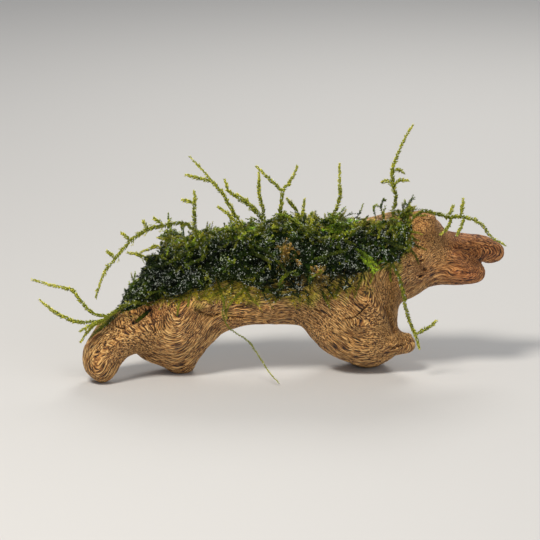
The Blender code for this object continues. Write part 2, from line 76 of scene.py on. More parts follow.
# Lines of the grain on the front of the wood, as x and rise, under how deep into the outline they run.
GRAIN_LINES = {
    0: [
        [
            (-81.5, 23.5), (-88, 18), (-92.5, 11), (-94, 5), (-92.5, -1), (-88, -5), (-83, -3.5),
            (-79, 0), (-77, 4.5), (-73.5, 7.5), (-70.5, 8.5), (-65.5, 6), (-59.5, 3), (-53, 1.5),
            (-45.5, -1), (-40.5, 2.5), (-35.5, 7), (-31.5, 12), (-28, 18.5), (-24.5, 22.5),
            (-17.5, 23.5), (-6.5, 22.5), (-1, 23.5), (7.5, 24.5), (14, 21.5), (20, 17), (25.5, 12.5),
            (33, 7), (41, 3), (49.5, 2.5), (57.5, 4.5), (66, 8.5), (71.5, 13.5),
        ],
        [
            (64.5, 20.5), (66, 29), (69, 35), (77, 42), (80.5, 45.5), (87.5, 47.5), (92, 45.5), (99, 44),
            (104.5, 46), (107, 50.5),
        ],
        [
            (108, 53.5), (114.5, 56.5), (118.5, 62), (116, 65.5), (110.5, 68.5), (103.5, 70),
            (94.5, 69.5),
        ],
    ],
    5: [
        [
            (-79.5, 19.5), (-85.5, 15), (-88.5, 9.5), (-89, 4), (-87, 0), (-84, 2), (-81.5, 7),
            (-77.5, 11), (-73.5, 14), (-69.5, 14.5), (-64, 11.5), (-59, 8.5), (-52.5, 6.5), (-46, 5),
            (-41.5, 8), (-37, 13), (-33.5, 18), (-30, 23), (-24.5, 28), (-15.5, 28), (-4.5, 28), (2, 29),
            (8.5, 29.5), (15.5, 26.5), (22, 22), (28.5, 17.5), (35, 11.5), (42, 8), (49.5, 7.5),
            (56.5, 9), (64, 13),
        ],
        [
            (66.5, 34), (73.5, 41.5), (79.5, 48.5), (87.5, 52), (93.5, 50.5), (99, 49), (103, 51.5),
        ],
        [
            (103.5, 56.5), (110.5, 59.5), (113.5, 62.5), (108.5, 65), (102, 66),
        ],
    ],
    10: [
        [
            (-80.5, 13.5), (-74.5, 18), (-69, 19.5), (-63.5, 17), (-58.5, 14),
            (-52.5, 11.5), (-46.5, 10.5), (-42, 13.5), (-38, 18), (-34.5, 23.5), (-30.5, 28.5),
            (-24, 33), (-15.5, 33.5), (-4.5, 33.5), (3, 34), (9, 34), (16.5, 31.5), (23.5, 26.5),
            (30.5, 21.5), (37, 16.5), (43.5, 13), (50, 12), (56.5, 13.5), (63, 16.5),
        ],
        [
            (63.5, 41), (70.5, 47), (78.5, 52.5), (87.5, 56.5), (93.5, 55.5), (98.5, 54.5),
        ],
    ],
    16: [
        [
            (-60.5, 25.5), (-56.5, 19.5), (-51.5, 17), (-46.5, 16.5), (-42.5, 19), (-39, 23.5),
            (-35.5, 29.5), (-30.5, 34.5), (-23.5, 38.5), (-15.5, 39), (-4.5, 39), (4.5, 40), (11, 40),
            (18.5, 37), (25.5, 32.5), (32.5, 27), (38.5, 22), (44.5, 19), (51.5, 18), (57.5, 18.5),
            (62, 20),
        ],
        [
            (61, 45.5), (68.5, 52), (77, 56.5), (86, 61), (93.5, 60.5), (99.5, 60),
        ],
    ],
    22: [
        [
            (-53.5, 31), (-50.5, 25), (-47, 22.5), (-43.5, 24), (-40.5, 29), (-36.5, 34.5),
            (-30.5, 40.5),
        ],
        [
            (14.5, 45.5), (21.5, 41.5), (28.5, 37), (35, 32), (40.5, 27), (45.5, 24), (51.5, 22.5),
            (56.5, 23.5), (60, 28), (59.5, 34), (59, 41), (59, 49),
        ],
    ],
    27: [
        [
            (-49.5, 35), (-46, 29.5), (-41.5, 34.5),
        ],
        [
            (24.5, 45.5), (30.5, 41.5), (37, 36.5), (42, 32), (47, 29), (52.5, 28.5), (55.5, 32.5),
            (55.5, 38), (54, 45), (52.5, 52.5),
        ],
    ],
    33: [
        [
            (34.5, 46.5), (40, 41.5), (44.5, 37.5), (48.5, 36), (50, 39.5), (48.5, 47.5), (46.5, 54.5),
        ],
    ],
}
# Single places of the grain field: x, rise and depth.
GRAIN_PLACES = [
    (-15.5, 47.5, 24),
    (-4.5, 48.5, 25),
    (-15.5, 56.5, 33),
    (-0.5, 56.5, 34),
    (-15.5, 68, 44),
    (4.5, 68, 44),
    (24.5, 56.5, 38),
    (29.5, 68, 46),
    (44.5, 68, 44),
    (-60.5, 37, 18),
    (-67.5, 42.5, 14),
    (-75.5, 33, 10),
    (64.5, 59, 26),
    (72, 65.5, 30),
    (74.5, 76, 38),
    (79.5, 83.5, 44),
    (62, 76, 44),
    (84.5, 68, 24),
    (-80.5, -14.5, -10),
    (-45.5, -9.5, -10),
    (4.5, 14, -11),
    (49.5, -7, -10),
    (-105.5, 5, -12),
    (89.5, 34.5, -12),
    (124.5, 58, -7),
]
# How loosely the grain field follows its lines and places.
GRAIN_EASE = 40.0
# Knots and curls that the grain runs round: x, rise, half widths in both directions and how far it swings.
CURLS = [
    (55, 43.5, 3.5, 7.2, -3),
    (44, 23.5, 5, 2.6, 4),
    (-55.5, 25.5, 3.5, 4.1, -1.5),
    (-1.5, 31.5, 3.5, 2.6, 3),
    (75, 56.5, 4, 3.6, 4),
    (77, 74.5, 4.5, 4.7, 6),
    (90.5, 50.5, 3, 2.6, 3),
]
# The ribs along the grain, the finer ripples in its colour and the soft lumps under both.
RIB_PITCH = 1.6
RIB_HEIGHT = 0.15
RIPPLE_PITCH = 1.15
LUMP_WAVE = 11.0
LUMP_HEIGHT = 0.45
# Strands of the grain: how far they reach across it, from front to back, and along it.
BROAD_STRANDS = (9, 9, 12)
PATCH_STRANDS = (4, 5, 8)
RIB_STRANDS = (0.72, 0.8, 4.2)
FINE_STRANDS = (0.48, 0.55, 2.4)
# The height over which the carving fades out towards the floor.
FOOT_EASE = 1.2
# Where the wood is knobbly like bark: x, rise and half widths.
KNOBBLY = [(77, 76, 9, 9), (72, 66, 7, 6)]

# Cracks, pits and grooves in the front of the wood: half width, depth, how dark the painted shade in them
# is, then x and rise along each.
CRACKS = [
    (0.3, 1.3, 0.7, [(48.5, 34.6), (44.4, 30.4), (41.8, 28.2), (37, 27.3)]),
    (0.3, 1.3, 0.45, [(-78.5, 25.2), (-76.5, 23.4), (-74, 22.6), (-71.5, 22.7)]),
    (0.8, 1.5, 0.75, [(-68, 25.4), (-64.5, 28.3), (-60.5, 32)]),
    (0.35, 1.0, 0.6, [(-60.5, 31.9), (-58.8, 27), (-57, 21)]),
    (0.4, 1.1, 0.6, [(-53.3, 29.3), (-53, 25.7), (-52.5, 22.1)]),
    (0.4, 0.9, 0.6, [(-58.5, 20), (-57, 21)]),
    (0.5, 1.4, 0.4, [(-37.5, 31.9), (-33, 29.6), (-29, 28.8), (-25.5, 29.8)]),
    (0.35, 1.2, 0.5, [(-17.5, 33.2), (-14, 33.5), (-9.5, 35.5)]),
    (0.4, 1.0, 0.5, [(-19.5, 28.3), (-13, 27.8)]),
    (0.4, 1.0, 0.4, [(-4.5, 25.2), (-0.5, 26.2)]),
    (0.4, 1.1, 0.5, [(21.5, 32.4), (25, 30.4)]),
    (1.7, 1.6, 0.12, [(59.3, 50.5), (60, 42.3), (59.8, 34.5)]),
    (1.4, 1.8, 0.35, [(57.5, 33), (60, 27.8), (62, 21)]),
    (0.55, 1.4, 0.8, [(74, 49), (75, 49.8)]),
    (0.7, 1.3, 0.6, [(74.5, 57), (75.5, 57.3)]),
    (0.7, 1.1, 0.5, [(76, 52.6), (77, 52.6)]),
    (0.9, 1.2, 0.25, [(90.5, 64.5), (95.5, 63.5), (100.5, 61.4), (107.5, 55.7)]),
    (1.6, 1.3, 0.3, [(64, 16.8), (67.5, 16.2), (70.5, 15.8)]),
    (0.5, 1.0, 0.4, [(60, 12), (66, 13.5), (71, 15.5)]),
]
# Thin raised rims: half width, height, then x and rise along each.
RIMS = [
    (0.5, 1.0, [(63, 19.8), (67, 19.2), (71.5, 18.4)]),
    (1.4, 1.2, [(-76.5, 26.2), (-70, 30.5), (-61, 35.5)]),
]
# Where the wood is coloured by algae: x, rise, half widths and strength.
ALGAE = [
    (-26, 40, 14, 5, 1.0),
    (-36, 34, 6, 4, 0.6),
    (-22.5, 30, 3, 6, 0.7),
    (14, 38.5, 4, 3.5, 0.7),
    (20.5, 35, 3, 4, 0.7),
    (37, 38, 3, 5, 0.6),
    (48.5, 42, 4, 5, 0.6),
    (57, 54.5, 5, 3, 0.9),
    (63.5, 55, 2.5, 7, 0.8),
    (67, 68, 7, 6, 0.55),
    (74.5, 66.5, 5, 5, 0.4),
    (-60.5, 31, 5, 3, 0.4),
    (-85, 22, 6, 3, 0.35),
    (73, 82, 8, 3, 0.5),
]
# How strong the algae are beside the moss, along the wood as x and strength, and how far they reach from it.
ALGAE_BY_MOSS = [(-62, 0.35), (-48, 0.75)]
ALGAE_REACH = 4.0
# Where the wood is worn smooth: x, rise and half widths.
WORN = [(-81.5, 4.5, 6, 6), (-20, 32, 8, 4), (93, 43, 6, 4)]
# Where the wood is brighter, and where it is redder: x, rise, half widths and strength.
PALE = [
    (-17, 30, 12, 5, 0.8),
    (44, 18, 16, 8, 0.35),
    (57, 40, 6, 9, 0.3),
    (-40, 33, 6, 5, 0.4),
    (52, 73, 9, 5, 0.6),
    (-64, 34.2, 4, 2, 0.8),
    (-69.5, 31, 4, 2, 0.8),
    (-75.5, 27, 4, 2.5, 0.7),
]
RED = [(98, 50, 16, 10, 1.0), (106, 60, 14, 8, 0.7), (78, 52, 9, 7, 0.45), (-58, 31, 6, 5, 0.6)]
# Where the redder wood of the two branches begins, and over what length.
RED_FROM, RED_OVER = 84, 10
# Where the ridge and the crown of the wood stay bare, as x, rise and half widths, and how far back.
BARE = [(47, 82.5, 16, 5.5), (75, 72, 6.5, 13)]
BARE_BACK_TO = 21.0
# Where the moss has withered to brown, as x, rise and half widths, and how many brown shoots a clump has.
WITHERED = [(9.5, 61.5, 4, 2), (29.5, 54.8, 2.8, 1.7), (24, 49.8, 2.4, 1.5)]
WITHERED_EACH = 45

# The edge along the front where the dark mat of moss ends, as x and rise. Below it the moss is thin and
# yellow-green.
MAT_EDGE = [
    (-67, 35.5),
    (-55, 40.8),
    (-51, 38.5),
    (-44, 43.5),
    (-37, 43.5),
    (-30.5, 48.5),
    (-20.5, 51),
    (-12, 47.5),
    (-1.5, 40.5),
    (2, 38.5),
    (7, 44),
    (13, 40.5),
    (21, 46),
    (26, 38.5),
    (30, 44.5),
    (36, 44),
    (39.5, 50),
    (47, 51.5),
    (51, 56.5),
    (64.5, 59.9),
    (70, 63),
]
EDGE_WAVER = 2.2
NOT_BELOW = -20.0
# The top of the mat as x and rise: the shoots there are yellow-green, partly as young growth and partly as
# painted light from above.
MAT_TOP = [
    (-70.5, 56.7),
    (-60.5, 68.1),
    (-49.5, 70.7),
    (-40.5, 69.2),
    (-28, 74.3),
    (-12, 76.4),
    (14.5, 77.4),
    (29.5, 74.9),
    (37, 77.4),
    (50.5, 77.4),
    (61, 81),
    (69.5, 70.7),
]
RIM_WIDTH = 11.0
# Single strands that hang from the mat over the front of the wood, as x and rise, and how fresh each is.
DRAPED = [
    (0.5, [(36, 52), (34.5, 47), (33, 42), (31, 38)]),
    (0.35, [(46, 56), (45, 50), (43.5, 45), (41.5, 38.5)]),
    (0.6, [(24.5, 45), (26, 41), (27.5, 37), (29.5, 33)]),
    (0.8, [(-14, 46), (-12, 42), (-9.5, 38), (-6, 34.5)]),
    (0.5, [(4, 44), (3.5, 40), (2, 36)]),
    (0.7, [(12, 44), (13.5, 40), (14.5, 36)]),
    (0.4, [(17, 43), (18.5, 39), (18.5, 34.5)]),
    (0.85, [(-29, 49), (-31, 44), (-33.5, 39.5)]),
    (0.7, [(-20, 49), (-19, 44), (-20.5, 39)]),
    (0.9, [(51, 60), (51.5, 55), (50.5, 50), (49, 46)]),
    (0.6, [(59.5, 58), (59, 52), (59.5, 47)]),
    (0.5, [(-46, 46), (-50, 43), (-54, 40)]),
    (0.95, [(-40, 47), (-43, 41), (-45.5, 35), (-46.5, 29.5)]),
    (0.9, [(-36, 48), (-38.5, 43), (-40.5, 38), (-41, 34)]),
    (0.95, [(-27, 49), (-25, 42), (-23.5, 35), (-22, 28)]),
    (0.9, [(-10, 45), (-15, 41), (-20, 36), (-22.5, 31)]),
    (0.85, [(-17, 48), (-22, 44), (-27, 40.5), (-32, 38)]),
    (0.55, [(-62, 42), (-67, 38), (-73, 34), (-79, 30)]),
    (0.6, [(-60, 40), (-66, 35.5), (-71, 31)]),
    (0.35, [(-62, 40), (-70, 35), (-77, 29), (-84, 22.5), (-90, 17)]),
    (0.2, [(-63, 37.5), (-71, 32.5), (-78, 27), (-86, 21)]),
    (0.65, [(-65, 40), (-73, 34), (-80.5, 27), (-88, 20)]),
    (0.05, [(27, 46), (29, 42), (31.5, 38.5)]),
    (0.05, [(34, 47), (36, 43.5), (38.5, 40)]),
    (0.1, [(25, 42), (26, 39), (27.5, 37)]),
    (0.1, [(-60.8, 32.5), (-64, 29.5), (-67.5, 26.3)]),
    (0.25, [(-61, 31), (-63.5, 28.5), (-66, 25.5)]),
    (0.5, [(66.5, 67), (71, 65.5), (77, 63)]),
    (0.4, [(65.5, 70.5), (69, 69.5), (73.5, 67.5)]),
    (0.45, [(67, 65), (71, 60.5), (73, 56)]),
    (0.6, [(66, 72), (70, 72.5), (75, 71)]),
    (0.8, [(66, 83.5), (71, 84.5), (77, 83.5), (82, 80.5)]),
    (0.7, [(67.5, 81), (72, 80), (77, 80.5)]),
]

# Strands that lie on the mat and show as light lines, as x and rise, and how fresh each is.
TRAILS = [
    (0.6, [(-44, 53.5), (-36, 56.5), (-28, 60), (-20, 64.5)]),
    (0.35, [(-10, 67), (-4, 62), (3, 56.5), (9.5, 51.5)]),
    (0.3, [(-13, 65), (-7, 60.5), (-1, 56)]),
    (0.5, [(-16, 66.5), (-7, 71), (3, 74)]),
    (0.7, [(3.5, 45.5), (7, 49), (11, 53)]),
    (0.5, [(-62, 68), (-55, 66.5), (-48, 64)]),
    (0.6, [(-66, 62), (-58, 58), (-50, 57.5)]),
    (0.5, [(-57, 52), (-50, 55), (-42, 60), (-34, 63)]),
    (0.7, [(-38, 66), (-28, 68.5), (-18, 72)]),
    (0.6, [(16, 70), (24, 67), (31, 68)]),
    (1.0, [(45, 62), (48, 57.5), (50, 52.5)]),
    (0.9, [(42, 64), (46.5, 60), (51, 56.5)]),
    (1.0, [(43.5, 60), (47, 56.5), (51.5, 54)]),
    (1.0, [(28.5, 72.5), (33, 74), (38.5, 73.5)]),
    (0.9, [(30, 70), (34.5, 72), (37.5, 75)]),
    (0.4, [(54, 70), (59, 66), (64, 64.5)]),
    (0.6, [(22, 58), (30, 61), (38, 61.5)]),
]

# Each clump's seed and the lean of its strands, and how many strands, sprigs and loose shoots it has in
# front and how many behind.
CLUMPS = {
    "moss_left_clump": (1, 0.5, (255, 75, 26), (160, 40, 12)),
    "moss_middle_clump": (2, 0.1, (230, 80, 28), (160, 40, 12)),
    "moss_right_clump": (3, 0.3, (250, 70, 20), (145, 30, 8)),
}
FIRST_CLUMP, *_, LAST_CLUMP = CLUMPS
SKIN_SCRAP = 30
TUFT_WIDTH = 3.2
# The bed under the shoots: its grid, how deep it lies and how far it shrinks to lose its tufts.
BED_GRID = 1.6
BED_DEPTH = 1.0
TUFT_LOSS = 0.5
# The shoots of the mat: their lengths, the points along them and the leaves on each.
STRAND_LENGTH = (11.0, 21.0)
STRAND_ROWS = 10
STRAND_LEAVES = 72
TWIGS = 3
TWIG_LENGTH = (2.0, 4.8)
TWIG_LEAVES = 14
SPRIG_LENGTH = (4.0, 8.0)
SPRIG_LEAVES = 36
LOOSE_LENGTH = (8.0, 17.0)
LOOSE_LEAVES = 64
# The fringe along the mat's edge: its shoots in front and behind, and how thick the mat still is behind.
FRINGE_EACH = (190, 110)
EDGE_THICKNESS = 2.4
FRINGE_LENGTH = (3.0, 7.0)
FRINGE_LEAVES = 16
# How much of the fringe in front is missing along the wood: x and share.
FRINGE_LOSS = [(-56, 0.93), (-48, 0.3), (-14, 0.3), (-4, 0.65), (28, 0.7), (40, 0.85)]
# The strands of the two tables above: how high they lie at both ends, how vivid they get, and the limit on
# their shade that keeps most of their leaves from the painted glints.
TRAIL_LIFTS = (2.8, 3.4)
DRAPED_LIFTS = (1.4, 0.6)
TRAIL_VIVID = 0.6
DRAPED_VIVID = 0.1
LAID_GLINT_LIMIT = 0.86
# Leaves: length and width, the fold along their middle, how far they open from the stem in degrees, and
# their turns round it in half turns.
LEAF = (1.2, 0.5)
LOOSE_LEAF = (1.45, 0.68)
FRINGE_LEAF = (1.0, 0.42)
LEAF_FOLD = 0.13
LEAF_OPENING = (28, 58)
LEAF_TURNS = (0.0, 1.0, 0.5, 1.0, 0.0, 1.35)
MAT_LEAF_SPACING = 0.2
# Stems: their radii at the root, and their shade.
STEM_RADIUS = 0.17
TWIG_STEM = 0.13
LOOSE_STEM = 0.22
FRINGE_STEM = 0.12
STEM_SHADE = 0.35
# Where the front of the moss passes into its back, and how far out its shoots may reach.
TRUNK_MIDDLE = 5.0
FURTHEST_BACK, FURTHEST_FRONT = 30.8, -29.4
# Where the moss is fresh green: x, rise, half widths and strength.
FRESH = [
    (-12, 75, 5, 3, 1.0),
    (34, 73.5, 6, 3, 1.0),
    (50, 55, 3, 5, 1.0),
    (-27.5, 42.5, 9, 3.5, 0.5),
    (-13, 43, 3, 2, 1.0),
    (57, 56, 4, 3, 0.7),
    (68, 72, 6, 4, 0.5),
    (3, 60, 7, 4, 0.5),
    (18, 52, 12, 6, 0.2),
    (10, 70, 20, 5, 0.15),
]

# The long shoots: the first path of each is the stem, from root to tip, and the others are side branches.
SHOOTS = {
    "shoot_tall_left": [
        [(-10, 0, 66), (-13, 0, 73), (-18, -1, 81), (-22, -2, 89), (-29, -4, 99), (-40, -6, 112)],
        [(-29, -4, 99), (-36, -5, 101), (-42, -7, 103)],
    ],
    "shoot_leaning": [[(-1, 6, 71), (-6, 7, 79), (-14, 8, 86), (-21, 8, 91), (-23, 8, 97)]],
    "shoot_leaning_back": [[(-1, 13, 70), (-6, 14, 78), (-11, 15, 83), (-17, 15, 88)]],
    "shoot_short_front": [[(-10, -10, 68), (-15, -10, 77), (-20, -11, 83), (-26, -12, 88)]],
    "shoot_forked": [
        [(3, 1, 70), (4, 1, 79), (5, 0, 86), (6, 0, 93), (10, 0, 99), (13, -1, 106)],
        [(6, 0, 93), (0, -1, 99), (-7, -2, 106)],
    ],
    "shoot_upright_back": [[(-3, 10, 68), (-4, 10, 81), (-6, 10, 91), (-6, 11, 100)]],
    "shoot_short_middle": [[(17, 6, 70), (14, 6, 79), (11, 6, 84), (8, 5, 88)]],
    "shoot_upright_left": [
        [(-37, -2, 62), (-38, -3, 77), (-38, -3, 87), (-38, -4, 94)],
        [(-38, -3, 87), (-41, -4, 89), (-44, -5, 90)],
    ],
    "shoot_arching_left": [
        [
            (-34, -6, 64),
            (-38, -8, 75),
            (-44, -9, 79),
            (-53, -10, 78),
            (-61, -11, 76),
            (-69, -12, 71),
            (-77, -13, 62),
            (-83, -14, 54),
            (-87, -14, 42),
        ],
        [(-53, -10, 78), (-58, -11, 82)],
        [(-61, -11, 76), (-63, -12, 81)],
        [(-69, -12, 71), (-74, -13, 75)],
        [(-77, -13, 62), (-81, -14, 66)],
    ],
    "shoot_low_left": [[(-58, 7, 52), (-64, 9, 57), (-72, 10, 59)]],
    "shoot_side_left": [[(-42, 4, 58), (-46, 4, 66), (-52, 4, 67), (-57, 5, 68)]],
    "frond_left": [
        [(-60, -13, 38), (-68, -19, 41), (-76, -22, 38), (-82, -24, 34), (-89, -26, 30), (-94, -27, 23)],
        [(-82, -24, 34), (-88, -27, 32), (-94, -29, 29)],
        [(-80, -23, 35), (-88, -24, 37), (-94, -23, 43), (-98, -22, 48), (-107, -21, 50), (-118, -20, 53)],
        [(-84, -24, 33), (-94, -23, 32), (-100, -24, 34), (-107, -25, 38), (-114, -25, 44)],
    ],
    "shoot_straight_right": [[(27, 2, 68), (30, 2, 77), (34, 1, 88), (34, 0, 96), (34, 0, 107)]],
    "shoot_tall_right": [
        [
            (60, 1, 76),
            (61, 1, 83),
            (62, 1, 90),
            (61, 0, 96),
            (60, 0, 103),
            (62, 0, 110),
            (66, -1, 120),
            (70, -2, 127),
        ],
        [(61, 0, 95), (58, 1, 98), (55, 2, 97)],
        [(61, 0, 96), (64, -1, 99), (68, -2, 99)],
        [(60, 0, 103), (63, 1, 104), (66, 2, 102)],
    ],
    "shoot_trailing_right": [
        [
            (66, -8, 76),
            (74, -10, 85),
            (82, -10, 84),
            (88, -9, 82),
            (95, -8, 82),
            (104, -6, 78),
            (109, -3, 71),
            (117, 1, 65),
        ],
        [(89, -9, 82), (88, -10, 78), (84, -12, 74)],
        [(96, -8, 82), (94, -9, 77), (92, -10, 73)],
        [(88, -9, 82), (90, -9, 88)],
        [(94, -8, 82), (95, -8, 91)],
    ],
    "shoot_hanging_right": [
        [
            (58, -12, 62),
            (62, -19, 57),
            (65, -19, 48),
            (67, -18, 37),
            (70, -17, 28),
            (72, -16, 23),
            (74, -15, 16),
        ],
        [(72, -16, 24), (78, -16, 27), (82, -17, 31)],
    ],
    "shoot_hanging_middle": [
        [
            (-22, -15, 44),
            (-24, -19, 35),
            (-20, -21, 28),
            (-12, -23, 23),
            (-8, -24, 18),
            (-4, -25, 12),
            (0, -26, 6),
            (4, -26, 1.2),
        ],
    ],
    "shoot_back_left": [[(-44, 14, 50), (-50, 21, 56), (-58, 25, 58), (-66, 26, 55)]],
    "shoot_back_middle": [[(6, 18, 58), (10, 25, 64), (15, 28, 72), (17, 28.5, 82)]],
    "shoot_back_hanging": [[(-14, 18, 44), (-14, 25, 38), (-10, 28, 28), (-6, 29, 20)]],
}
SHOOT_LEAF_SPACING = 0.19
SHOOT_LEAF = (1.65, 0.85)
SHOOT_STEM = 0.3
SHOOT_WAVER = 0.12
FIRST_SHOOT_SEED = 100
# The buds along the stems: their leaves and lengths, and for some shoots how many and how long they are.
BUD_LEAVES = 9
BUD_LENGTH = (1.4, 3.2)
BUDS = {
    "shoot_arching_left": (15, (3.0, 6.5)),
    "frond_left": (9, (1.5, 3.5)),
    "shoot_tall_left": (9, (1.4, 3.6)),
}
# The shoots whose leaves are smaller than the others', and their share of the size.
THREAD_SHOOTS = {"shoot_hanging_middle": 0.5, "shoot_side_left": 0.8}

BUMP_DEPTH = 0.0008
LIT_PLACE = Vector((0, 0, 0.04))


def unselect():
    bpy.ops.object.select_all(action="DESELECT")


def select_only(piece):
    unselect()
    piece.select_set(True)
    bpy.context.view_layer.objects.active = piece


def merged_copy(node, name):
    """A copy of a solid's node, in one closed mesh."""
    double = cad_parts[node].copy()
    double.data = double.data.copy()
    double.parent = None
    for key in list(double.keys()):
        del double[key]
    double.name = name
    double.hide_render = double.hide_viewport = False
    bpy.context.scene.collection.objects.link(double)
    select_only(double)
    bpy.ops.object.mode_set(mode="EDIT")
    bpy.ops.mesh.select_all(action="SELECT")
    bpy.ops.mesh.remove_doubles(threshold=MERGE_WITHIN)
    bpy.ops.object.mode_set(mode="OBJECT")
    return double


def apply_all(piece):
    select_only(piece)
    for modifier in list(piece.modifiers):
        bpy.ops.object.modifier_apply(modifier=modifier.name)


def swell(piece, distance):
    push = piece.modifiers.new("swell", "DISPLACE")
    push.strength = distance * MM
    push.mid_level = 0.0


def remesh(piece, size):
    grid = piece.modifiers.new("grid", "REMESH")
    grid.mode = "VOXEL"
    grid.voxel_size = size * MM


def soften(piece, times):
    ease = piece.modifiers.new("soften", "SMOOTH")
    ease.factor = 0.5
    ease.iterations = times


def points_of(mesh):
    found = np.empty(len(mesh.vertices) * 3, np.float32)
    mesh.vertices.foreach_get("co", found)
    return found.reshape(-1, 3).astype(float) / MM


def normals_of(mesh):
    found = np.empty(len(mesh.vertices) * 3, np.float32)
    mesh.vertices.foreach_get("normal", found)
    return found.reshape(-1, 3).astype(float)


def triangles_of(mesh):
    mesh.calc_loop_triangles()
    found = np.empty(len(mesh.loop_triangles) * 3, np.int32)
    mesh.loop_triangles.foreach_get("vertices", found)
    return found.reshape(-1, 3)


def surface_tree(mesh):
    return BVHTree.FromPolygons(points_of(mesh).tolist(), triangles_of(mesh).tolist())


def give(mesh, name, values):
    """Stores one number for each point of the mesh, for its material to read."""
    mesh.attributes.new(name, "FLOAT", "POINT").data.foreach_set("value", np.asarray(values, np.float32))


def unit(rows):
    return rows / np.maximum(np.linalg.norm(rows, axis=-1, keepdims=True), 1e-9)


def fibre_noise(places, seed):
    """Smooth noise from about -1 to 1 at places that have four coordinates."""
    cell = np.floor(places).astype(np.int64)
    part = places - cell
    fade = part**3 * (part * (part * 6 - 15) + 10)
    total = np.zeros(len(places))
    for corner in itertools.product((0, 1), repeat=4):
        corner = np.array(corner)
        mixed = ((cell + corner) * (73856093, 19349663, 83492791, 39916801)).sum(axis=1) + seed * 7919
        mixed = (mixed ^ (mixed >> 15)) * 2246822519 & 0xFFFFFFFF
        mixed = (mixed ^ (mixed >> 13)) * 3266489917 & 0xFFFFFFFF
        slopes = np.stack([(mixed >> shift) & 255 for shift in (0, 8, 16, 24)], axis=1) / 127.5 - 1
        share = np.where(corner, fade, 1 - fade).prod(axis=1)
        total += share * ((part - corner) * slopes).sum(axis=1)
    return total


def noise_at(places, wave, seed):
    """The same noise at places in space, with lumps of about that length."""
    spread = np.hstack([places / wave, np.full((len(places), 1), 0.37)])
    return fibre_noise(spread, seed)


def rise_of(places):
    return places[:, 2] + places[:, 1] * math.tan(VIEW_DOWN)


def spots(places, table):
    """How strongly the round spots of a table cover each place: 0 to 1, and a spot has x, rise, half widths
    and its strength."""
    x, rise = places[:, 0], rise_of(places)
    covered = np.zeros(len(places))
    for spot_x, spot_rise, wide, high, *strength in table:
        amount = np.exp(-(((x - spot_x) / wide) ** 2) - ((rise - spot_rise) / high) ** 2)
        covered = np.maximum(covered, amount * (strength[0] if strength else 1.0))
    return covered


def thin_plate(squared):
    return squared * np.log(squared + 1e-9)


def fit_grain():
    """The smooth surface over x and rise that passes near every grain line at its depth."""
    places = [(x, rise) for lines in GRAIN_LINES.values() for line in lines for x, rise in line]
    depths = [depth for depth, lines in GRAIN_LINES.items() for line in lines for _ in line]
    places += [place[:2] for place in GRAIN_PLACES]
    depths += [place[2] for place in GRAIN_PLACES]
    places = np.array(places, float)
    count = len(places)
    apart = ((places[:, None] - places[None]) ** 2).sum(axis=-1)
    flat = np.hstack([np.ones((count, 1)), places])
    system = np.block([[thin_plate(apart) + GRAIN_EASE * np.eye(count), flat], [flat.T, np.zeros((3, 3))]])
    return places, np.linalg.solve(system, np.concatenate([depths, np.zeros(3)]))


def grain_depth(x, rise, grain):
    places, weights = grain
    count = len(places)
    depth = np.empty(len(x))
    for start in range(0, len(x), 20000):
        part = slice(start, start + 20000)
        here = np.stack([x[part], rise[part]], axis=1)
        apart = ((here[:, None] - places[None]) ** 2).sum(axis=-1)
        depth[part] = thin_plate(apart) @ weights[:count] + weights[count] + here @ weights[count + 1 :]
    for curl_x, curl_rise, wide, high, swing in CURLS:
        depth += swing * np.exp(-(((x - curl_x) / wide) ** 2) - ((rise - curl_rise) / high) ** 2)
    return depth


def distance_to_line(places, line):
    """Distance of each place from a line of points, both given as x and rise."""
    nearest = np.full(len(places), np.inf)
    for start, end in zip(np.array(line[:-1], float), np.array(line[1:], float)):
        along = end - start
        share = np.clip(((places - start) @ along) / (along @ along), 0, 1)
        nearest = np.minimum(nearest, np.linalg.norm(places - start - share[:, None] * along, axis=1))
    return nearest


def strand_noise(places, depth, strands, seed):
    """Noise drawn out along the grain, with the reach of the strands."""
    x, y, z = places.T
    across, back, along = strands
    return fibre_noise(np.stack([depth / across, y / back, x / along, z / along], axis=1), seed)


def rib_heights(places, normals, grain):
    """Height of the ribs of the grain at each place, from -1 in a groove to 1 on a crest, the grain depth,
    and from 0 to 1 how near the place is to an eye of the grain, where it has no direction."""
    x, rise = places[:, 0], rise_of(places)
    depth = grain_depth(x, rise, grain)
    step = 0.2
    along_x = (grain_depth(x + step, rise, grain) - depth) / step
    along_rise = (grain_depth(x, rise + step, grain) - depth) / step
    slope = np.stack([along_x, along_rise * math.tan(VIEW_DOWN), along_rise], axis=1)
    facing = np.linalg.norm(np.cross(unit(slope), normals), axis=1)
    eye = np.clip(1 - 2 * np.hypot(along_x, along_rise), 0, 1)
    depth = depth + 0.7 * noise_at(places, 6.5, 11) + 0.15 * noise_at(places, 3.1, 12)
    broad = strand_noise(places, depth, BROAD_STRANDS, 1)
    even = np.sin(math.tau * (depth / RIB_PITCH + 1.1 * broad))
    patchy = np.clip(0.6 + 1.4 * strand_noise(places, depth, PATCH_STRANDS, 2), 0.1, 1.2)
    ribs = strand_noise(places, depth, RIB_STRANDS, 3)
    fine = strand_noise(places, depth, FINE_STRANDS, 4)
    heights = 0.3 * even * facing * patchy + 1.3 * ribs + fine
    return np.tanh(1.2 * heights), depth, eye


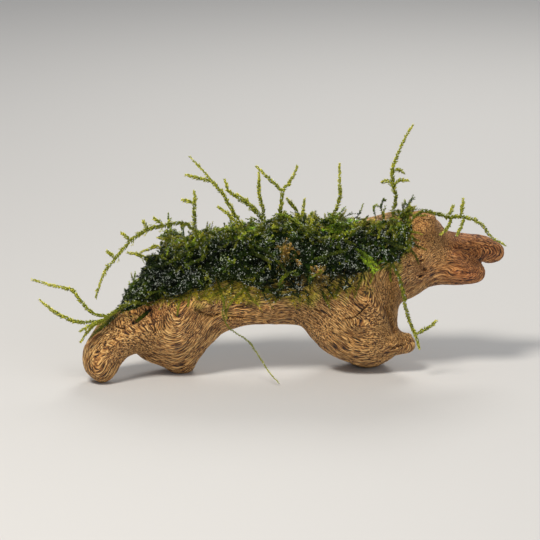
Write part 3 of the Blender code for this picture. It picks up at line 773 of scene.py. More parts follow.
def carve_driftwood(wood, moss_trees):
    """Presses grain, cracks, lumps and worn places into the smooth wood and notes them for its finish."""
    mesh = wood.data
    places, normals = points_of(mesh), normals_of(mesh)
    front = np.clip(0.5 - 1.6 * normals[:, 1], 0, 1)
    seen = np.stack([places[:, 0], rise_of(places)], axis=1)
    heights, depth, eye = rib_heights(places, normals, fit_grain())
    knobbly = np.maximum(spots(places, KNOBBLY), 0.8 * eye)
    rough = noise_at(places, 1.5, 21) + 0.8 * noise_at(places, 0.9, 22) + 0.5 * noise_at(places, 3.6, 23)
    heights = heights * (1 - 0.75 * knobbly) + np.tanh(1.6 * rough) * 2.0 * knobbly
    worn = spots(places, WORN) * (front > 0.1)
    heights *= 1 - 0.75 * worn
    # Besides the carving, each crack gets painted shade: its darkness is stored for the finish as the shade
    # that falls in it.
    carved, crack_shade = np.zeros((2, len(places)))
    for half, deep, dark, line in CRACKS:
        apart = distance_to_line(seen, line)
        carved = np.maximum(carved, deep * np.exp(-((apart / half) ** 2)) * front)
        crack_shade = np.maximum(crack_shade, dark * np.clip(1.5 - apart / half, 0, 1) * (front > 0.2))
    for half, high, line in RIMS:
        carved -= high * np.exp(-((distance_to_line(seen, line) / half) ** 2)) * (front > 0.3)
    moved = RIB_HEIGHT * heights - carved
    moved += LUMP_HEIGHT * (noise_at(places, LUMP_WAVE, 31) + 0.6 * noise_at(places, LUMP_WAVE / 2.2, 32))
    moved *= np.clip(places[:, 2] / FOOT_EASE, 0, 1)
    places = places + normals * moved[:, None]
    places[:, 2] = np.maximum(places[:, 2], 0.0)
    mesh.vertices.foreach_set("co", (places * MM).astype(np.float32).ravel())
    near = np.array([min(tree.find_nearest(Vector(place))[3] for tree in moss_trees) for place in places])
    by_moss = np.interp(places[:, 0], *np.array(ALGAE_BY_MOSS).T) * np.exp(-((near / ALGAE_REACH) ** 1.4))
    algae = np.maximum(spots(places, ALGAE) * front, by_moss)
    algae *= 1 - 0.8 * bareness(places)
    branches = np.clip((places[:, 0] - RED_FROM) / RED_OVER, 0, 0.8)
    give(mesh, "grain", depth)
    give(mesh, "painted_crack_shade", crack_shade)
    give(mesh, "knobbly", knobbly)
    give(mesh, "rib", np.clip(0.5 + 0.5 * heights, 0, 1))
    give(mesh, "algae", algae)
    give(mesh, "pale", spots(places, PALE))
    give(mesh, "red", np.maximum(spots(places, RED), branches))
    mesh.update()


def make_driftwood(moss_trees):
    """The driftwood in one piece: its solids joined across the forks, smoothed and carved with the grain."""
    parts = [merged_copy(node, "driftwood") for node in WOOD_NODES]
    for part in parts:
        swell(part, FORK_OVERLAP)
        apply_all(part)
    unselect()
    for part in parts:
        part.select_set(True)
    bpy.context.view_layer.objects.active = parts[0]
    bpy.ops.object.join()
    wood = parts[0]
    wood.name = "driftwood"
    remesh(wood, WOOD_GRID)
    soften(wood, WOOD_SOFTENING)
    finer = wood.modifiers.new("finer", "SUBSURF")
    finer.levels = finer.render_levels = 1
    apply_all(wood)
    carve_driftwood(wood, moss_trees)
    thin = wood.modifiers.new("thin", "DECIMATE")
    thin.ratio = WOOD_TRIANGLES / (2 * len(wood.data.polygons))
    thin.use_collapse_triangulate = True
    apply_all(wood)
    wood.data.materials.clear()
    wood.data.materials.append(weathered_wood())
    wood.data.shade_smooth()
    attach(wood, "root")
    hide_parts(*WOOD_NODES)
    return wood


class Leafage:
    """Points, triangles and tones of the stems and leaves of one piece of moss."""

    def __init__(self):
        self.points, self.faces, self.tones, self.shades, self.tints = [], [], [], [], []
        self.count = 0

    def add(self, points, faces, tones, shades, tints):
        points = points.reshape(-1, 3)
        self.faces.append(faces.reshape(-1, 3) + self.count)
        self.points.append(points)
        self.tones.append(np.ravel(tones))
        self.shades.append(np.ravel(shades))
        self.tints.append(np.ravel(tints))
        self.count += len(points)

    def piece(self, name, finish):
        """All that was added, as one object with its finish."""
        points = np.concatenate(self.points) * MM
        faces = np.concatenate(self.faces)
        mesh = bpy.data.meshes.new(name)
        mesh.vertices.add(len(points))
        mesh.vertices.foreach_set("co", points.astype(np.float32).ravel())
        mesh.loops.add(faces.size)
        mesh.loops.foreach_set("vertex_index", faces.astype(np.int32).ravel())
        mesh.polygons.add(len(faces))
        mesh.polygons.foreach_set("loop_start", np.arange(0, faces.size, 3, dtype=np.int32))
        mesh.update()
        mesh.validate()
        give(mesh, "tone", np.concatenate(self.tones))
        give(mesh, "shade", np.concatenate(self.shades))
        give(mesh, "tint", np.concatenate(self.tints))
        mesh.materials.append(finish)
        made = bpy.data.objects.new(name, mesh)
        bpy.context.scene.collection.objects.link(made)
        return made


def tangents_of(paths):
    return unit(np.gradient(paths, axis=1))


def sides_of(tangents, outward):
    """Two directions square to each tangent, the second of them nearest to outward."""
    up = unit(outward - (outward * tangents).sum(axis=-1, keepdims=True) * tangents)
    return np.cross(up, tangents), up


def add_stems(leafage, paths, outward, radii, tones, tints):
    """A closed three-sided stem along each of the paths, an array of shoots by points by three."""
    shoots, rows = paths.shape[:2]
    tangents = tangents_of(paths)
    across, up = sides_of(tangents, outward)
    turns = math.tau * np.arange(3) / 3
    rim = across[:, :, None] * np.cos(turns)[:, None] + up[:, :, None] * np.sin(turns)[:, None]
    points = paths[:, :, None] + rim * radii[:, :, None, None]
    faces = []
    for row in range(rows - 1):
        for side in range(3):
            beside = (side + 1) % 3
            low, high = 3 * row, 3 * row + 3
            faces.append((low + side, low + beside, high + beside))
            faces.append((low + side, high + beside, high + side))
    faces.append((2, 1, 0))
    last = 3 * rows - 3
    faces.append((last, last + 1, last + 2))
    faces = np.array(faces)[None] + (np.arange(shoots) * rows * 3)[:, None, None]
    corners = (shoots, rows, 3)
    tones = np.broadcast_to(tones[:, :, None], corners)
    tints = np.broadcast_to(tints[:, None, None], corners)
    leafage.add(points, faces, tones, np.full(corners, STEM_SHADE), tints)


def add_leaves(leafage, roots, along, outward, facing, lengths, widths, opening, tones, shades, tints):
    """One closed, folded leaf at each of the roots. It leaves the stem's direction by the opening angle, and
    its flat side looks the way that facing says."""
    blade = along * np.cos(opening)[:, None] + outward * np.sin(opening)[:, None]
    across = unit(np.cross(blade, facing))
    face = np.cross(across, blade)
    length, width = lengths[:, None], widths[:, None]
    left = roots + blade * 0.4 * length + across * 0.5 * width - face * LEAF_FOLD
    right = roots + blade * 0.4 * length - across * 0.5 * width - face * LEAF_FOLD
    tip = roots + blade * length - face * 0.12 * length
    points = np.stack([roots, left, right, tip], axis=1)
    corners = np.array([(0, 1, 3), (0, 3, 2), (0, 2, 1), (1, 2, 3)])
    inside_out = (np.cross(left - roots, tip - roots) * (right - roots)).sum(axis=1) > 0
    corners = np.where(inside_out[:, None, None], corners[None, :, ::-1], corners[None])
    faces = corners + (np.arange(len(roots)) * 4)[:, None, None]
    brighter = np.array([-0.12, 0.0, 0.0, 0.16])
    tones = np.clip(tones[:, None] + brighter, 0, 1)
    leafage.add(points, faces, tones, np.repeat(shades, 4), np.repeat(tints, 4))


def leafy_shoots(leafage, paths, outward, count, size, draw, youth, tints, stem=STEM_RADIUS, glint_limit=1.0):
    """Stems along the paths with count leaves on each, whose tones run from old at the root to young at the
    tip."""
    shoots, rows = paths.shape[:2]
    share = np.linspace(0, 1, rows)[None]
    old, young = youth
    stem_tones = old[:, None] + (young - old)[:, None] * share**1.5
    radii = stem * (1 - 0.55 * share) * np.ones((shoots, 1))
    add_stems(leafage, paths, outward, radii, stem_tones, tints)
    stations = (np.arange(count) + 0.5) / count
    spread = np.clip(stations[None] + draw.uniform(-0.4, 0.4, (shoots, count)) / count, 0.0, 0.999)
    lower = np.minimum((spread * (rows - 1)).astype(int), rows - 2)
    part = (spread * (rows - 1) - lower)[..., None]
    which = np.arange(shoots)[:, None]
    roots = paths[which, lower] * (1 - part) + paths[which, lower + 1] * part
    along = unit(paths[which, lower + 1] - paths[which, lower])
    reference = outward[which, lower] * (1 - part) + outward[which, lower + 1] * part
    across, up = sides_of(along, reference)
    turn = math.pi * np.resize(LEAF_TURNS, count)
    turn = turn[None] + draw.normal(0, 0.35, (shoots, count))
    radial = across * np.cos(turn)[..., None] + up * np.sin(turn)[..., None]
    taper = 1 - 0.3 * spread**4 - 0.25 * (1 - spread) ** 4
    length, width = size
    lengths = length * taper * draw.uniform(0.75, 1.2, (shoots, count))
    widths = width * taper * draw.uniform(0.8, 1.2, (shoots, count))
    opening = np.radians(draw.uniform(*LEAF_OPENING, (shoots, count))) * (1 - 0.45 * spread**4)
    tones = old[:, None] + (young - old)[:, None] * spread**1.5 + draw.normal(0, 0.06, (shoots, count))
    # The glint limit caps the shade, and with it how many leaves get the painted glints.
    shades = draw.uniform(0, glint_limit, (shoots, count))
    flat = shoots * count
    facing = unit(up + draw.normal(0, 0.3, (shoots, count, 3)))
    add_leaves(
        leafage,
        (roots + radial * stem * 0.4).reshape(flat, 3),
        along.reshape(flat, 3),
        radial.reshape(flat, 3),
        facing.reshape(flat, 3),
        lengths.ravel(),
        widths.ravel(),
        opening.ravel(),
        tones.ravel(),
        shades.ravel(),
        np.repeat(tints, count),
    )


def outer_skin(node, wood_tree):
    """Corners and normals of the clump's triangles that face away from the wood and from its neighbours."""
    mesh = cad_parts[node].data
    places, triangles = points_of(mesh), triangles_of(mesh)
    corners = places[triangles]
    middle = corners.mean(axis=1)
    crossed = np.cross(corners[:, 1] - corners[:, 0], corners[:, 2] - corners[:, 0])
    area = np.linalg.norm(crossed, axis=1) / 2
    normals = unit(crossed)
    clear = np.array([wood_tree.find_nearest(Vector(place))[3] for place in middle])
    low, high = places[:, 0].min(), places[:, 0].max()
    joint_low = (middle[:, 0] < low + 0.4) & (node != FIRST_CLUMP)
    joint_high = (middle[:, 0] > high - 0.4) & (node != LAST_CLUMP)
    wall = (np.abs(normals[:, 0]) > 0.9) & (joint_low | joint_high)
    kept = (clear > 0.7) & ~wall & (area > 1e-6)
    return corners[kept], normals[kept], area[kept]


def below_mat(places):
    """How far each place on the front lies below the edge of the dark mat."""
    edge_x, edge_rise = np.array(MAT_EDGE, float).T
    below = np.interp(places[:, 0], edge_x, edge_rise) - rise_of(places)
    below += EDGE_WAVER * noise_at(places, 4.5, 71)
    return np.where(places[:, 1] < TRUNK_MIDDLE, below, NOT_BELOW)


def at_rim(places):
    """How near each place is to the top of the mat, from 0 to 1."""
    top_x, top_rise = np.array(MAT_TOP, float).T
    deep = np.interp(places[:, 0], top_x, top_rise) - rise_of(places)
    return np.clip(1 - deep / RIM_WIDTH, 0, 1)


def bareness(places):
    """How bare of moss the wood is at each place, from 0 to 1."""
    return spots(places, BARE) * (places[:, 1] < BARE_BACK_TO)


def scatter(skin, count, draw):
    """Random places on the skin, spread by area, with their normals."""
    corners, normals, area = skin
    chosen = draw.choice(len(area), count, p=area / area.sum())
    first, second = draw.uniform(0, 1, (2, count, 1))
    folded = first + second > 1
    first, second = np.where(folded, 1 - first, first), np.where(folded, 1 - second, second)
    corner = corners[chosen]
    places = corner[:, 0] + first * (corner[:, 1] - corner[:, 0]) + second * (corner[:, 2] - corner[:, 0])
    return places, normals[chosen]


def grow(places, headings, pull, lengths, steps, bend):
    """Paths that start along the headings and turn towards the pull, as shoots by points by three."""
    rows = [places]
    heading = headings
    for _ in range(steps):
        heading = unit(heading + pull * bend[:, None])
        rows.append(rows[-1] + heading * (lengths / steps)[:, None])
    return np.stack(rows, axis=1)


def creep(tree, places, headings, lengths, rows, lifts, draw):
    """Paths that creep over a surface, from the first lift above it to the second, and its normals there."""
    paths, outward = np.empty((2, len(places), rows, 3))
    for shoot, (place, heading) in enumerate(zip(places, headings)):
        here, heading = Vector(place), Vector(heading)
        for row in range(rows):
            spot, normal, _, _ = tree.find_nearest(here)
            lift = lifts[0][shoot] + (lifts[1][shoot] - lifts[0][shoot]) * row / (rows - 1)
            paths[shoot, row], outward[shoot, row] = spot + normal * lift, normal
            heading = heading + Vector(draw.normal(0, 0.25, 3)) + Vector((0, 0, -0.05))
            heading = (heading - normal * heading.dot(normal)).normalized()
            here = spot + normal * 0.2 + heading * (lengths[shoot] / (rows - 1))
    for _ in range(2):
        paths[:, 1:-1] = (paths[:, :-2] + 2 * paths[:, 1:-1] + paths[:, 2:]) / 4
        outward[:, 1:-1] = unit(outward[:, :-2] + 2 * outward[:, 1:-1] + outward[:, 2:])
    return paths, outward


def within_reach(paths):
    """Which of the paths keep to the depth of the object, with room for their leaves."""
    return (paths[:, :, 1].max(axis=1) < FURTHEST_BACK) & (paths[:, :, 1].min(axis=1) > FURTHEST_FRONT)


def tones_for(tips, normals, draw):
    """The tones of the old and young ends of shoots with these tips, and their tints."""
    count = len(tips)
    fresh = spots(tips, FRESH)
    lit = np.clip(normals[:, 2], 0, 1) ** 2
    edge = np.clip(1 + below_mat(tips) / 4, 0, 1)
    rim = at_rim(tips)
    bright = draw.uniform(0, 1, count) < 0.2 + 0.3 * rim
    patch = 0.6 * noise_at(tips, 8.0, 61)
    # Painted light: shoots whose tips face up, and those along the top of the mat, are made lighter as if
    # lit from above; the top is partly young growth too.
    young = 0.2 + 0.22 * lit + 0.45 * fresh + 0.2 * edge + 0.55 * rim + patch
    young = young * draw.uniform(0.5, 1.25, count) + 0.3 * bright
    old = 0.02 + 0.06 * lit + 0.35 * fresh + 0.15 * edge + 0.38 * rim + 0.3 * patch
    old += draw.uniform(0, 0.1, count)
    tints = np.clip(fresh * 1.2 + draw.normal(0, 0.15, count), 0, 1)
    return (np.clip(old, 0, 1), np.clip(young, 0, 1)), tints


def add_twigs(
    leafage, paths, outward, youth, tints, draw, number=TWIGS, reach=TWIG_LENGTH, leaves=TWIG_LEAVES
):
    """Short side branches, left and right by turns, on the shoots along the paths."""
    shoots, rows = paths.shape[:2]
    tangents = tangents_of(paths)
    for order in range(number):
        row = 1 + np.minimum(draw.integers(0, 2, shoots) + int(order * (rows - 2) / number), rows - 3)
        which = np.arange(shoots)
        along, up = tangents[which, row], outward[which, row]
        across = unit(np.cross(up, along)) * (1 if order % 2 else -1)
        aside = across * draw.uniform(0.6, 1.0, (shoots, 1))
        lift = up * draw.uniform(-0.1, 0.5, (shoots, 1))
        headings = unit(along * 0.75 + aside + lift)
        lengths = draw.uniform(*reach, shoots) * (1 - 0.4 * row / rows)
        twigs = grow(paths[which, row], headings, along, lengths, 3, draw.uniform(0.05, 0.25, shoots))
        kept = within_reach(twigs) & (below_mat(twigs[:, -1]) < 3.5) & (bareness(twigs[:, -1]) < 0.7)
        old = (youth[0] + youth[1]) / 2
        leafy_shoots(
            leafage,
            twigs[kept],
            np.repeat(up[:, None], 4, axis=1)[kept],
            leaves,
            LEAF,
            draw,
            (old[kept], np.clip(youth[1] * 1.15, 0, 1)[kept]),
            tints[kept],
            TWIG_STEM,
        )


def add_strands(leafage, skin, tree, count, lean, draw):
    """Creeping shoots with side branches that lie over and under one another and make up the mat."""
    places, normals = scatter(skin, 3 * count, draw)
    mat = np.flatnonzero((below_mat(places) < 1.8) & (bareness(places) < 0.5))[:count]
    places, normals = places[mat], normals[mat]
    count = len(places)
    sense = np.where(draw.uniform(0, 1, count) < 0.5, 1.0, -1.0)[:, None]
    headings = unit(sense * (1.0, 0.0, lean) + draw.normal(0, 0.55, (count, 3)))
    lengths = draw.uniform(*STRAND_LENGTH, count)
    lifts = draw.uniform(-1.6, -0.3, count), draw.uniform(0.2, 2.2, count)
    paths, outward = creep(tree, places, headings, lengths, STRAND_ROWS, lifts, draw)
    middle, tips = paths[:, STRAND_ROWS // 2], paths[:, -1]
    kept = within_reach(paths) & (below_mat(tips) < 3.0) & (bareness(middle) < 0.45) & (bareness(tips) < 0.6)
    paths, outward = paths[kept], outward[kept]
    outward = unit(outward + 0.25 * draw.normal(0, 1, (len(paths), 1, 3)))
    youth, tints = tones_for(paths[:, -1], outward[:, -1], draw)
    leafy_shoots(leafage, paths, outward, STRAND_LEAVES, LEAF, draw, youth, tints)
    add_twigs(leafage, paths, outward, youth, tints, draw)


def add_sprigs(leafage, skin, count, draw):
    """Sprigs that stand up from the mat, most of them along its top."""
    corners, normals, area = skin
    middle = corners.mean(axis=1)
    upward = area * (0.15 + np.clip(normals[:, 2], 0, 1) ** 2)
    upward = upward * (below_mat(middle) < -3) * (bareness(middle) < 0.3)
    places, normals = scatter((corners, normals, upward), count, draw)
    lying = draw.normal(0, 1, (count, 3))
    lying = unit(lying - (lying * normals).sum(axis=1, keepdims=True) * normals)
    headings = unit(normals * 0.8 + lying * 0.9)
    lengths = draw.uniform(*SPRIG_LENGTH, count)
    pull = np.array([0, 0, 0.4]) + draw.normal(0, 0.6, (count, 3))
    paths = grow(places - normals * 1.2, headings, pull, lengths, 6, draw.uniform(0.1, 0.35, count))
    kept = within_reach(paths)
    paths, normals = paths[kept], normals[kept]
    youth, tints = tones_for(paths[:, -1], normals, draw)
    youth = youth[0], np.clip(youth[1] + 0.12, 0, 1)
    facing = np.repeat(unit(normals + (0, -0.6, 0))[:, None], 7, axis=1)
    leafy_shoots(leafage, paths, facing, SPRIG_LEAVES, LEAF, draw, youth, tints)


def add_loose(leafage, skin, tree, count, draw):
    """Longer yellow-green shoots that lie loosely along the top of the mat and lift off it at their tips."""
    corners, normals, area = skin
    middle = corners.mean(axis=1)
    weight = area * at_rim(middle) ** 2 * (bareness(middle) < 0.3)
    places, normals = scatter((corners, normals, weight), count, draw)
    sense = np.where(draw.uniform(0, 1, count) < 0.6, -1.0, 1.0)[:, None]
    headings = unit(sense * (1.0, 0.0, 0.2) + draw.normal(0, 0.5, (count, 3)))
    lifts = draw.uniform(0.4, 1.2, count), draw.uniform(2.0, 5.5, count)
    paths, outward = creep(tree, places, headings, draw.uniform(*LOOSE_LENGTH, count), 9, lifts, draw)
    kept = within_reach(paths) & (bareness(paths[:, -1]) < 0.6)
    paths, outward = paths[kept], outward[kept]
    count = len(paths)
    youth = draw.uniform(0.35, 0.55, count), draw.uniform(0.75, 1.0, count)
    tints = draw.uniform(0.0, 0.5, count)
    facing = np.repeat(unit(outward[:, -1] + (0, -0.8, 0))[:, None], 9, axis=1)
    leafy_shoots(leafage, paths, facing, LOOSE_LEAVES, LOOSE_LEAF, draw, youth, tints, LOOSE_STEM)
    add_twigs(leafage, paths, outward, youth, tints, draw, 3, (1.5, 4.0), 12)


def is_tuft(tree, place, normal):
    """Whether the solid is as thin as a tuft here, both through and across in some direction."""
    _, _, _, through_it = tree.ray_cast(Vector(place - 0.02 * normal), Vector(-normal), TUFT_WIDTH)
    if through_it is None:
        return False
    core = Vector(place - 0.5 * (through_it + 0.02) * normal)
    across, up = sides_of(normal[None], np.array([[0.31, 0.42, 0.85]]))
    for turn in np.radians(np.arange(0, 180, 30)):
        aside = Vector(across[0] * math.cos(turn) + up[0] * math.sin(turn))
        reach = [tree.ray_cast(core, way, TUFT_WIDTH)[3] for way in (aside, -aside)]
        if None not in reach and sum(reach) < TUFT_WIDTH:
            return True
    return False


def group_by_corner(corners):
    """Groups of the triangles that hang together at their corners, as lists of their numbers."""
    groups, owner = {}, {}
    for index, corner_rows in enumerate(np.round(corners, 2).tolist()):
        joined = {owner[tuple(row)] for row in corner_rows if tuple(row) in owner}
        kept = min(joined) if joined else index
        groups.setdefault(kept, []).append(index)
        for other in joined - {kept}:
            groups[kept] += groups.pop(other)
        for member in groups[kept] if len(joined) > 1 else [index]:
            for row in np.round(corners[member], 2).tolist():
                owner[tuple(row)] = kept
    return list(groups.values())


def add_tufts(leafage, tuft_corners, rest, wood_tree, draw):
    """A leafy shoot with twigs along each of the tufts that stick out of the clump, rooted on the wood."""
    middle = tuft_corners.mean(axis=1)
    rest_middle = rest.mean(axis=1)
    for group in group_by_corner(tuft_corners):
        places = middle[group]
        if len(group) < 8 or np.ptp(places, axis=0).max() < 3:
            continue
        away = np.linalg.norm(places[:, None] - rest_middle[None], axis=2).min(axis=1)
        root = places[np.argmin(away)]
        tip = places[np.argmax(np.linalg.norm(places - root, axis=1))]
        share = ((places - root) @ (tip - root)) / ((tip - root) @ (tip - root))
        bends = [places[np.abs(share - step) < 0.17] for step in (0.25, 0.5, 0.75)]
        bends = [bend.mean(axis=0) for bend in bends if len(bend)]
        rows = [np.array(wood_tree.find_nearest(Vector(root))[0]), root, *bends, tip]
        path = through(rows, 3)[None]
        outward = np.repeat(np.array([[[0.1, -1.0, 0.3]]]), path.shape[1], axis=1)
        youth, tints = (np.array([0.35]), np.array([draw.uniform(0.7, 0.95)])), np.array([0.3])
        length = np.linalg.norm(np.diff(path[0], axis=0), axis=1).sum()
        leafy_shoots(leafage, path, outward, int(length / MAT_LEAF_SPACING), LEAF, draw, youth, tints)
        add_twigs(leafage, path, outward, youth, tints, draw)


def add_withered(leafage, skin, tree, draw):
    """Short brown shoots on top of the mat where it has withered."""
    corners, normals, area = skin
    weight = area * spots(corners.mean(axis=1), WITHERED) ** 2
    if weight.sum() < 1:
        return
    count = WITHERED_EACH
    places, normals = scatter((corners, normals, weight), count, draw)
    headings = draw.normal(0, 1, (count, 3))
    lifts = draw.uniform(0.4, 1.2, count), draw.uniform(0.8, 2.0, count)
    paths, outward = creep(tree, places, headings, draw.uniform(2.0, 5.0, count), 5, lifts, draw)
    youth = draw.uniform(0.2, 0.7, count), draw.uniform(0.5, 1.0, count)
    leafy_shoots(leafage, paths, outward, 18, LEAF, draw, youth, np.full(count, -1.0))


def add_fringe(leafage, skin, wood_tree, number, draw):
    """Fine yellow-green shoots flat on the wood, below the dark mat in front and at its edge behind."""
    places, normals = scatter(skin, 6 * number, draw)
    behind = places[:, 1] > TRUNK_MIDDLE
    clear = np.array([wood_tree.find_nearest(Vector(place))[3] for place in places])
    low = np.where(behind, clear < EDGE_THICKNESS, (below_mat(places) > -2.5) & (normals[:, 1] < 0.6))
    thinned = np.interp(places[:, 0], *np.array(FRINGE_LOSS).T)
    sparse = draw.uniform(0, 1, len(places)) < thinned
    sparse |= noise_at(places, 5.5, 51) < draw.uniform(-0.5, 0.35, len(places))
    chosen = np.flatnonzero(low & (behind | ~sparse) & (bareness(places) < 0.3))[:number]
    places = places[chosen]
    count = len(places)
    headings = unit(draw.normal(0, 1, (count, 3)) * (1.0, 0.4, 0.5) + (0, 0, -0.8))
    lengths = draw.uniform(*FRINGE_LENGTH, count)
    lifts = draw.uniform(0.1, 0.4, count), draw.uniform(0.3, 1.1, count)
    paths, outward = creep(wood_tree, places, headings, lengths, 6, lifts, draw)
    youth = draw.uniform(0.35, 0.7, count), draw.uniform(0.7, 1.0, count)
    tints = np.zeros(count)
    leafy_shoots(leafage, paths, outward, FRINGE_LEAVES, FRINGE_LEAF, draw, youth, tints, FRINGE_STEM)


def on_front(tree, x, rise, lift):
    """The place on the front of a surface that shows at x and rise, a little above it, and the normal."""
    ahead = Vector((0, math.cos(VIEW_DOWN), -math.sin(VIEW_DOWN)))
    place = Vector((x, 0, rise))
    spot, normal, _, _ = tree.ray_cast(place - ahead * 90, ahead)
    if spot is None:
        spot, normal, _, _ = tree.find_nearest(place)
    return np.array(spot + normal * lift), np.array(normal)


def add_laid(leafage, table, node, tree, lifts, size, vivid, draw):
    """The single strands of a table that start at this clump and lie on the front of a surface."""
    low, high = (corner.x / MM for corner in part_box(node))
    for fresh, line in table:
        if not low <= line[0][0] < high:
            continue
        rows = through([(x, rise, 0.0) for x, rise in line], 4)
        heights = np.linspace(*lifts, len(rows))
        found = [on_front(tree, x, rise, lift) for (x, rise, _), lift in zip(rows, heights)]
        path, outward = np.array([spot for spot, _ in found]), np.array([normal for _, normal in found])
        for _ in range(2):
            path[1:-1] = (path[:-2] + 2 * path[1:-1] + path[2:]) / 4
        length = np.linalg.norm(np.diff(path, axis=0), axis=1).sum()
        youth = np.array([0.3 + 0.4 * fresh]), np.array([0.55 + 0.45 * fresh])
        count = int(length / MAT_LEAF_SPACING)
        tints = np.array([vivid * fresh**3])
        path, outward = path[None], outward[None]
        leafy_shoots(leafage, path, outward, count, size, draw, youth, tints, STEM_RADIUS, LAID_GLINT_LIMIT)


def keep_largest(piece):
    """Drops all but the largest of the closed bodies in the piece."""
    work = bmesh.new()
    work.from_mesh(piece.data)
    waiting, groups = set(work.verts), []
    while waiting:
        group, edge = set(), [waiting.pop()]
        while edge:
            corner = edge.pop()
            group.add(corner)
            beside = {link.other_vert(corner) for link in corner.link_edges} & waiting
            waiting -= beside
            edge += beside
        groups.append(group)
    groups.sort(key=len)
    for group in groups[:-1]:
        bmesh.ops.delete(work, geom=list(group), context="VERTS")
    work.to_mesh(piece.data)
    work.free()


def moss_bed(node, wood_tree):
    """The dark bed under the shoots of a clump: the clump's own solid, drawn in and made lumpy, and sunk
    into the wood below the edge of the mat."""
    bed = merged_copy(node, node + "_bed")
    remesh(bed, BED_GRID)
    soften(bed, 3)
    swell(bed, -BED_DEPTH - TUFT_LOSS)
    apply_all(bed)
    remesh(bed, BED_GRID)
    swell(bed, TUFT_LOSS)
    apply_all(bed)
    keep_largest(bed)
    places, normals = points_of(bed.data), normals_of(bed.data)
    lumps = 0.9 * noise_at(places, 3.0, 41) + 0.6 * noise_at(places, 1.6, 42)
    places = places + normals * lumps[:, None]
    low, high = (corner.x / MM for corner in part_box(node))
    left, right = places[:, 0].min(), places[:, 0].max()
    places[:, 0] = low - 0.2 + (places[:, 0] - left) * (high - low + 0.4) / (right - left)
    sunk = np.clip(below_mat(places) / 2.5 + 0.6, 0, 1)
    sunk = np.maximum(sunk, np.clip(4 * bareness(places) - 0.4, 0, 1))
    for index in np.flatnonzero(sunk > 0):
        spot, normal, _, _ = wood_tree.find_nearest(Vector(places[index]))
        places[index] += (np.array(spot - normal * 1.0) - places[index]) * sunk[index]
    bed.data.vertices.foreach_set("co", (places * MM).astype(np.float32).ravel())
    bed.data.materials.clear()
    bed.data.materials.append(painted_shade_bed())
    bed.data.shade_smooth()
    hand_over(bed, node)


def hand_over(piece, node):
    """Makes the piece stand for its clump of moss."""
    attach(piece, "root")
    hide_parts(node)


def corner_tree(corners):
    """A search tree over loose triangles, given by their corners."""
    triangles = np.arange(len(corners) * 3).reshape(-1, 3)
    return BVHTree.FromPolygons(corners.reshape(-1, 3).tolist(), triangles.tolist())


def clump_skin(node, wood_tree):
    """The skin of a clump, as corners, normals and areas of its triangles, and the corners of its tufts."""
    corners, normals, area = outer_skin(node, wood_tree)
    solid_tree = surface_tree(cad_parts[node].data)
    middles = corners.mean(axis=1)
    thin = np.array([is_tuft(solid_tree, place, normal) for place, normal in zip(middles, normals)])
    thick = np.flatnonzero(~thin)
    for group in group_by_corner(corners[thick]):
        if len(group) < SKIN_SCRAP:
            thin[thick[group]] = True
    return corners[~thin], normals[~thin], area[~thin], corners[thin]


def make_clump(node, skin, mat_tree, wood_tree):
    """The bed of a clump, its mat of leafy shoots in front of the trunk and behind it, and its fringe."""
    seed, lean, *halves = CLUMPS[node]
    draw = np.random.default_rng(seed)
    moss_bed(node, wood_tree)
    corners, normals, area, tuft_corners = skin
    tree = corner_tree(corners)
    in_front = corners[:, :, 1].mean(axis=1) < TRUNK_MIDDLE
    for side, chosen, (strands, sprigs, loose) in zip(("front", "back"), (in_front, ~in_front), halves):
        half = corners[chosen], normals[chosen], area[chosen]
        leafage = Leafage()
        add_strands(leafage, half, tree, strands, lean, draw)
        add_sprigs(leafage, half, sprigs, draw)
        add_loose(leafage, half, tree, loose, draw)
        if side == "front":
            add_withered(leafage, half, tree, draw)
            add_laid(leafage, TRAILS, node, mat_tree, TRAIL_LIFTS, LOOSE_LEAF, TRAIL_VIVID, draw)
            add_laid(leafage, DRAPED, node, wood_tree, DRAPED_LIFTS, LEAF, DRAPED_VIVID, draw)
            add_tufts(leafage, tuft_corners, corners, wood_tree, draw)
        hand_over(leafage.piece(f"{node}_{side}", moss_with_painted_glints()), node)
    fringe = Leafage()
    for chosen, number in zip((in_front, ~in_front), FRINGE_EACH):
        add_fringe(fringe, (corners[chosen], normals[chosen], area[chosen]), wood_tree, number, draw)
    hand_over(fringe.piece(node + "_fringe", golden_moss()), node)


def through(rows, steps):
    """Rows on the smooth curve through the given rows, with steps intervals between two of them."""
    rows = np.array(rows, float)
    padded = np.vstack([2 * rows[0] - rows[1], rows, 2 * rows[-1] - rows[-2]])
    found = []
    for index in range(1, len(padded) - 2):
        before, start, end, after = padded[index - 1 : index + 3]
        for part in range(steps):
            t = part / steps
            bend = 2 * before - 5 * start + 4 * end - after
            turn = 3 * start - before - 3 * end + after
            found.append(start + 0.5 * ((end - before) * t + bend * t**2 + turn * t**3))
    found.append(rows[-1])
    return np.array(found)


def make_shoot(name, paths, seed):
    """One long shoot with its side branches, leafy all the way, in place of its solid."""
    draw = np.random.default_rng(seed)
    leafage = Leafage()
    share = THREAD_SHOOTS.get(name, 1.0)
    size = (SHOOT_LEAF[0] * share, SHOOT_LEAF[1] * share)
    stem = SHOOT_STEM * max(share, 0.7)
    tints = np.array([0.35])
    for order, path in enumerate(paths):
        line = through(path, 5)
        line[1:-1] += draw.normal(0, SHOOT_WAVER, (len(line) - 2, 3))
        length = np.linalg.norm(np.diff(line, axis=0), axis=1).sum()
        line = line[None]
        outward = np.repeat(np.array([[[0.1, -1.0, 0.25]]]), line.shape[1], axis=1)
        count = max(12, int(length / SHOOT_LEAF_SPACING))
        old, young = (0.22, 0.85) if order == 0 else (0.45, 0.9)
        youth = np.array([old]), np.array([young])
        leafy_shoots(leafage, line, outward, count, size, draw, youth, tints, stem)
        if order == 0 and share == 1.0:
            number, reach = BUDS.get(name, (TWIGS, BUD_LENGTH))
            add_twigs(leafage, line, unit(outward), youth, tints, draw, number, reach, BUD_LEAVES)
    shoot = leafage.piece(name + "_leafy", shoot_moss())
    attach(shoot, "root")
    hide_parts(name)


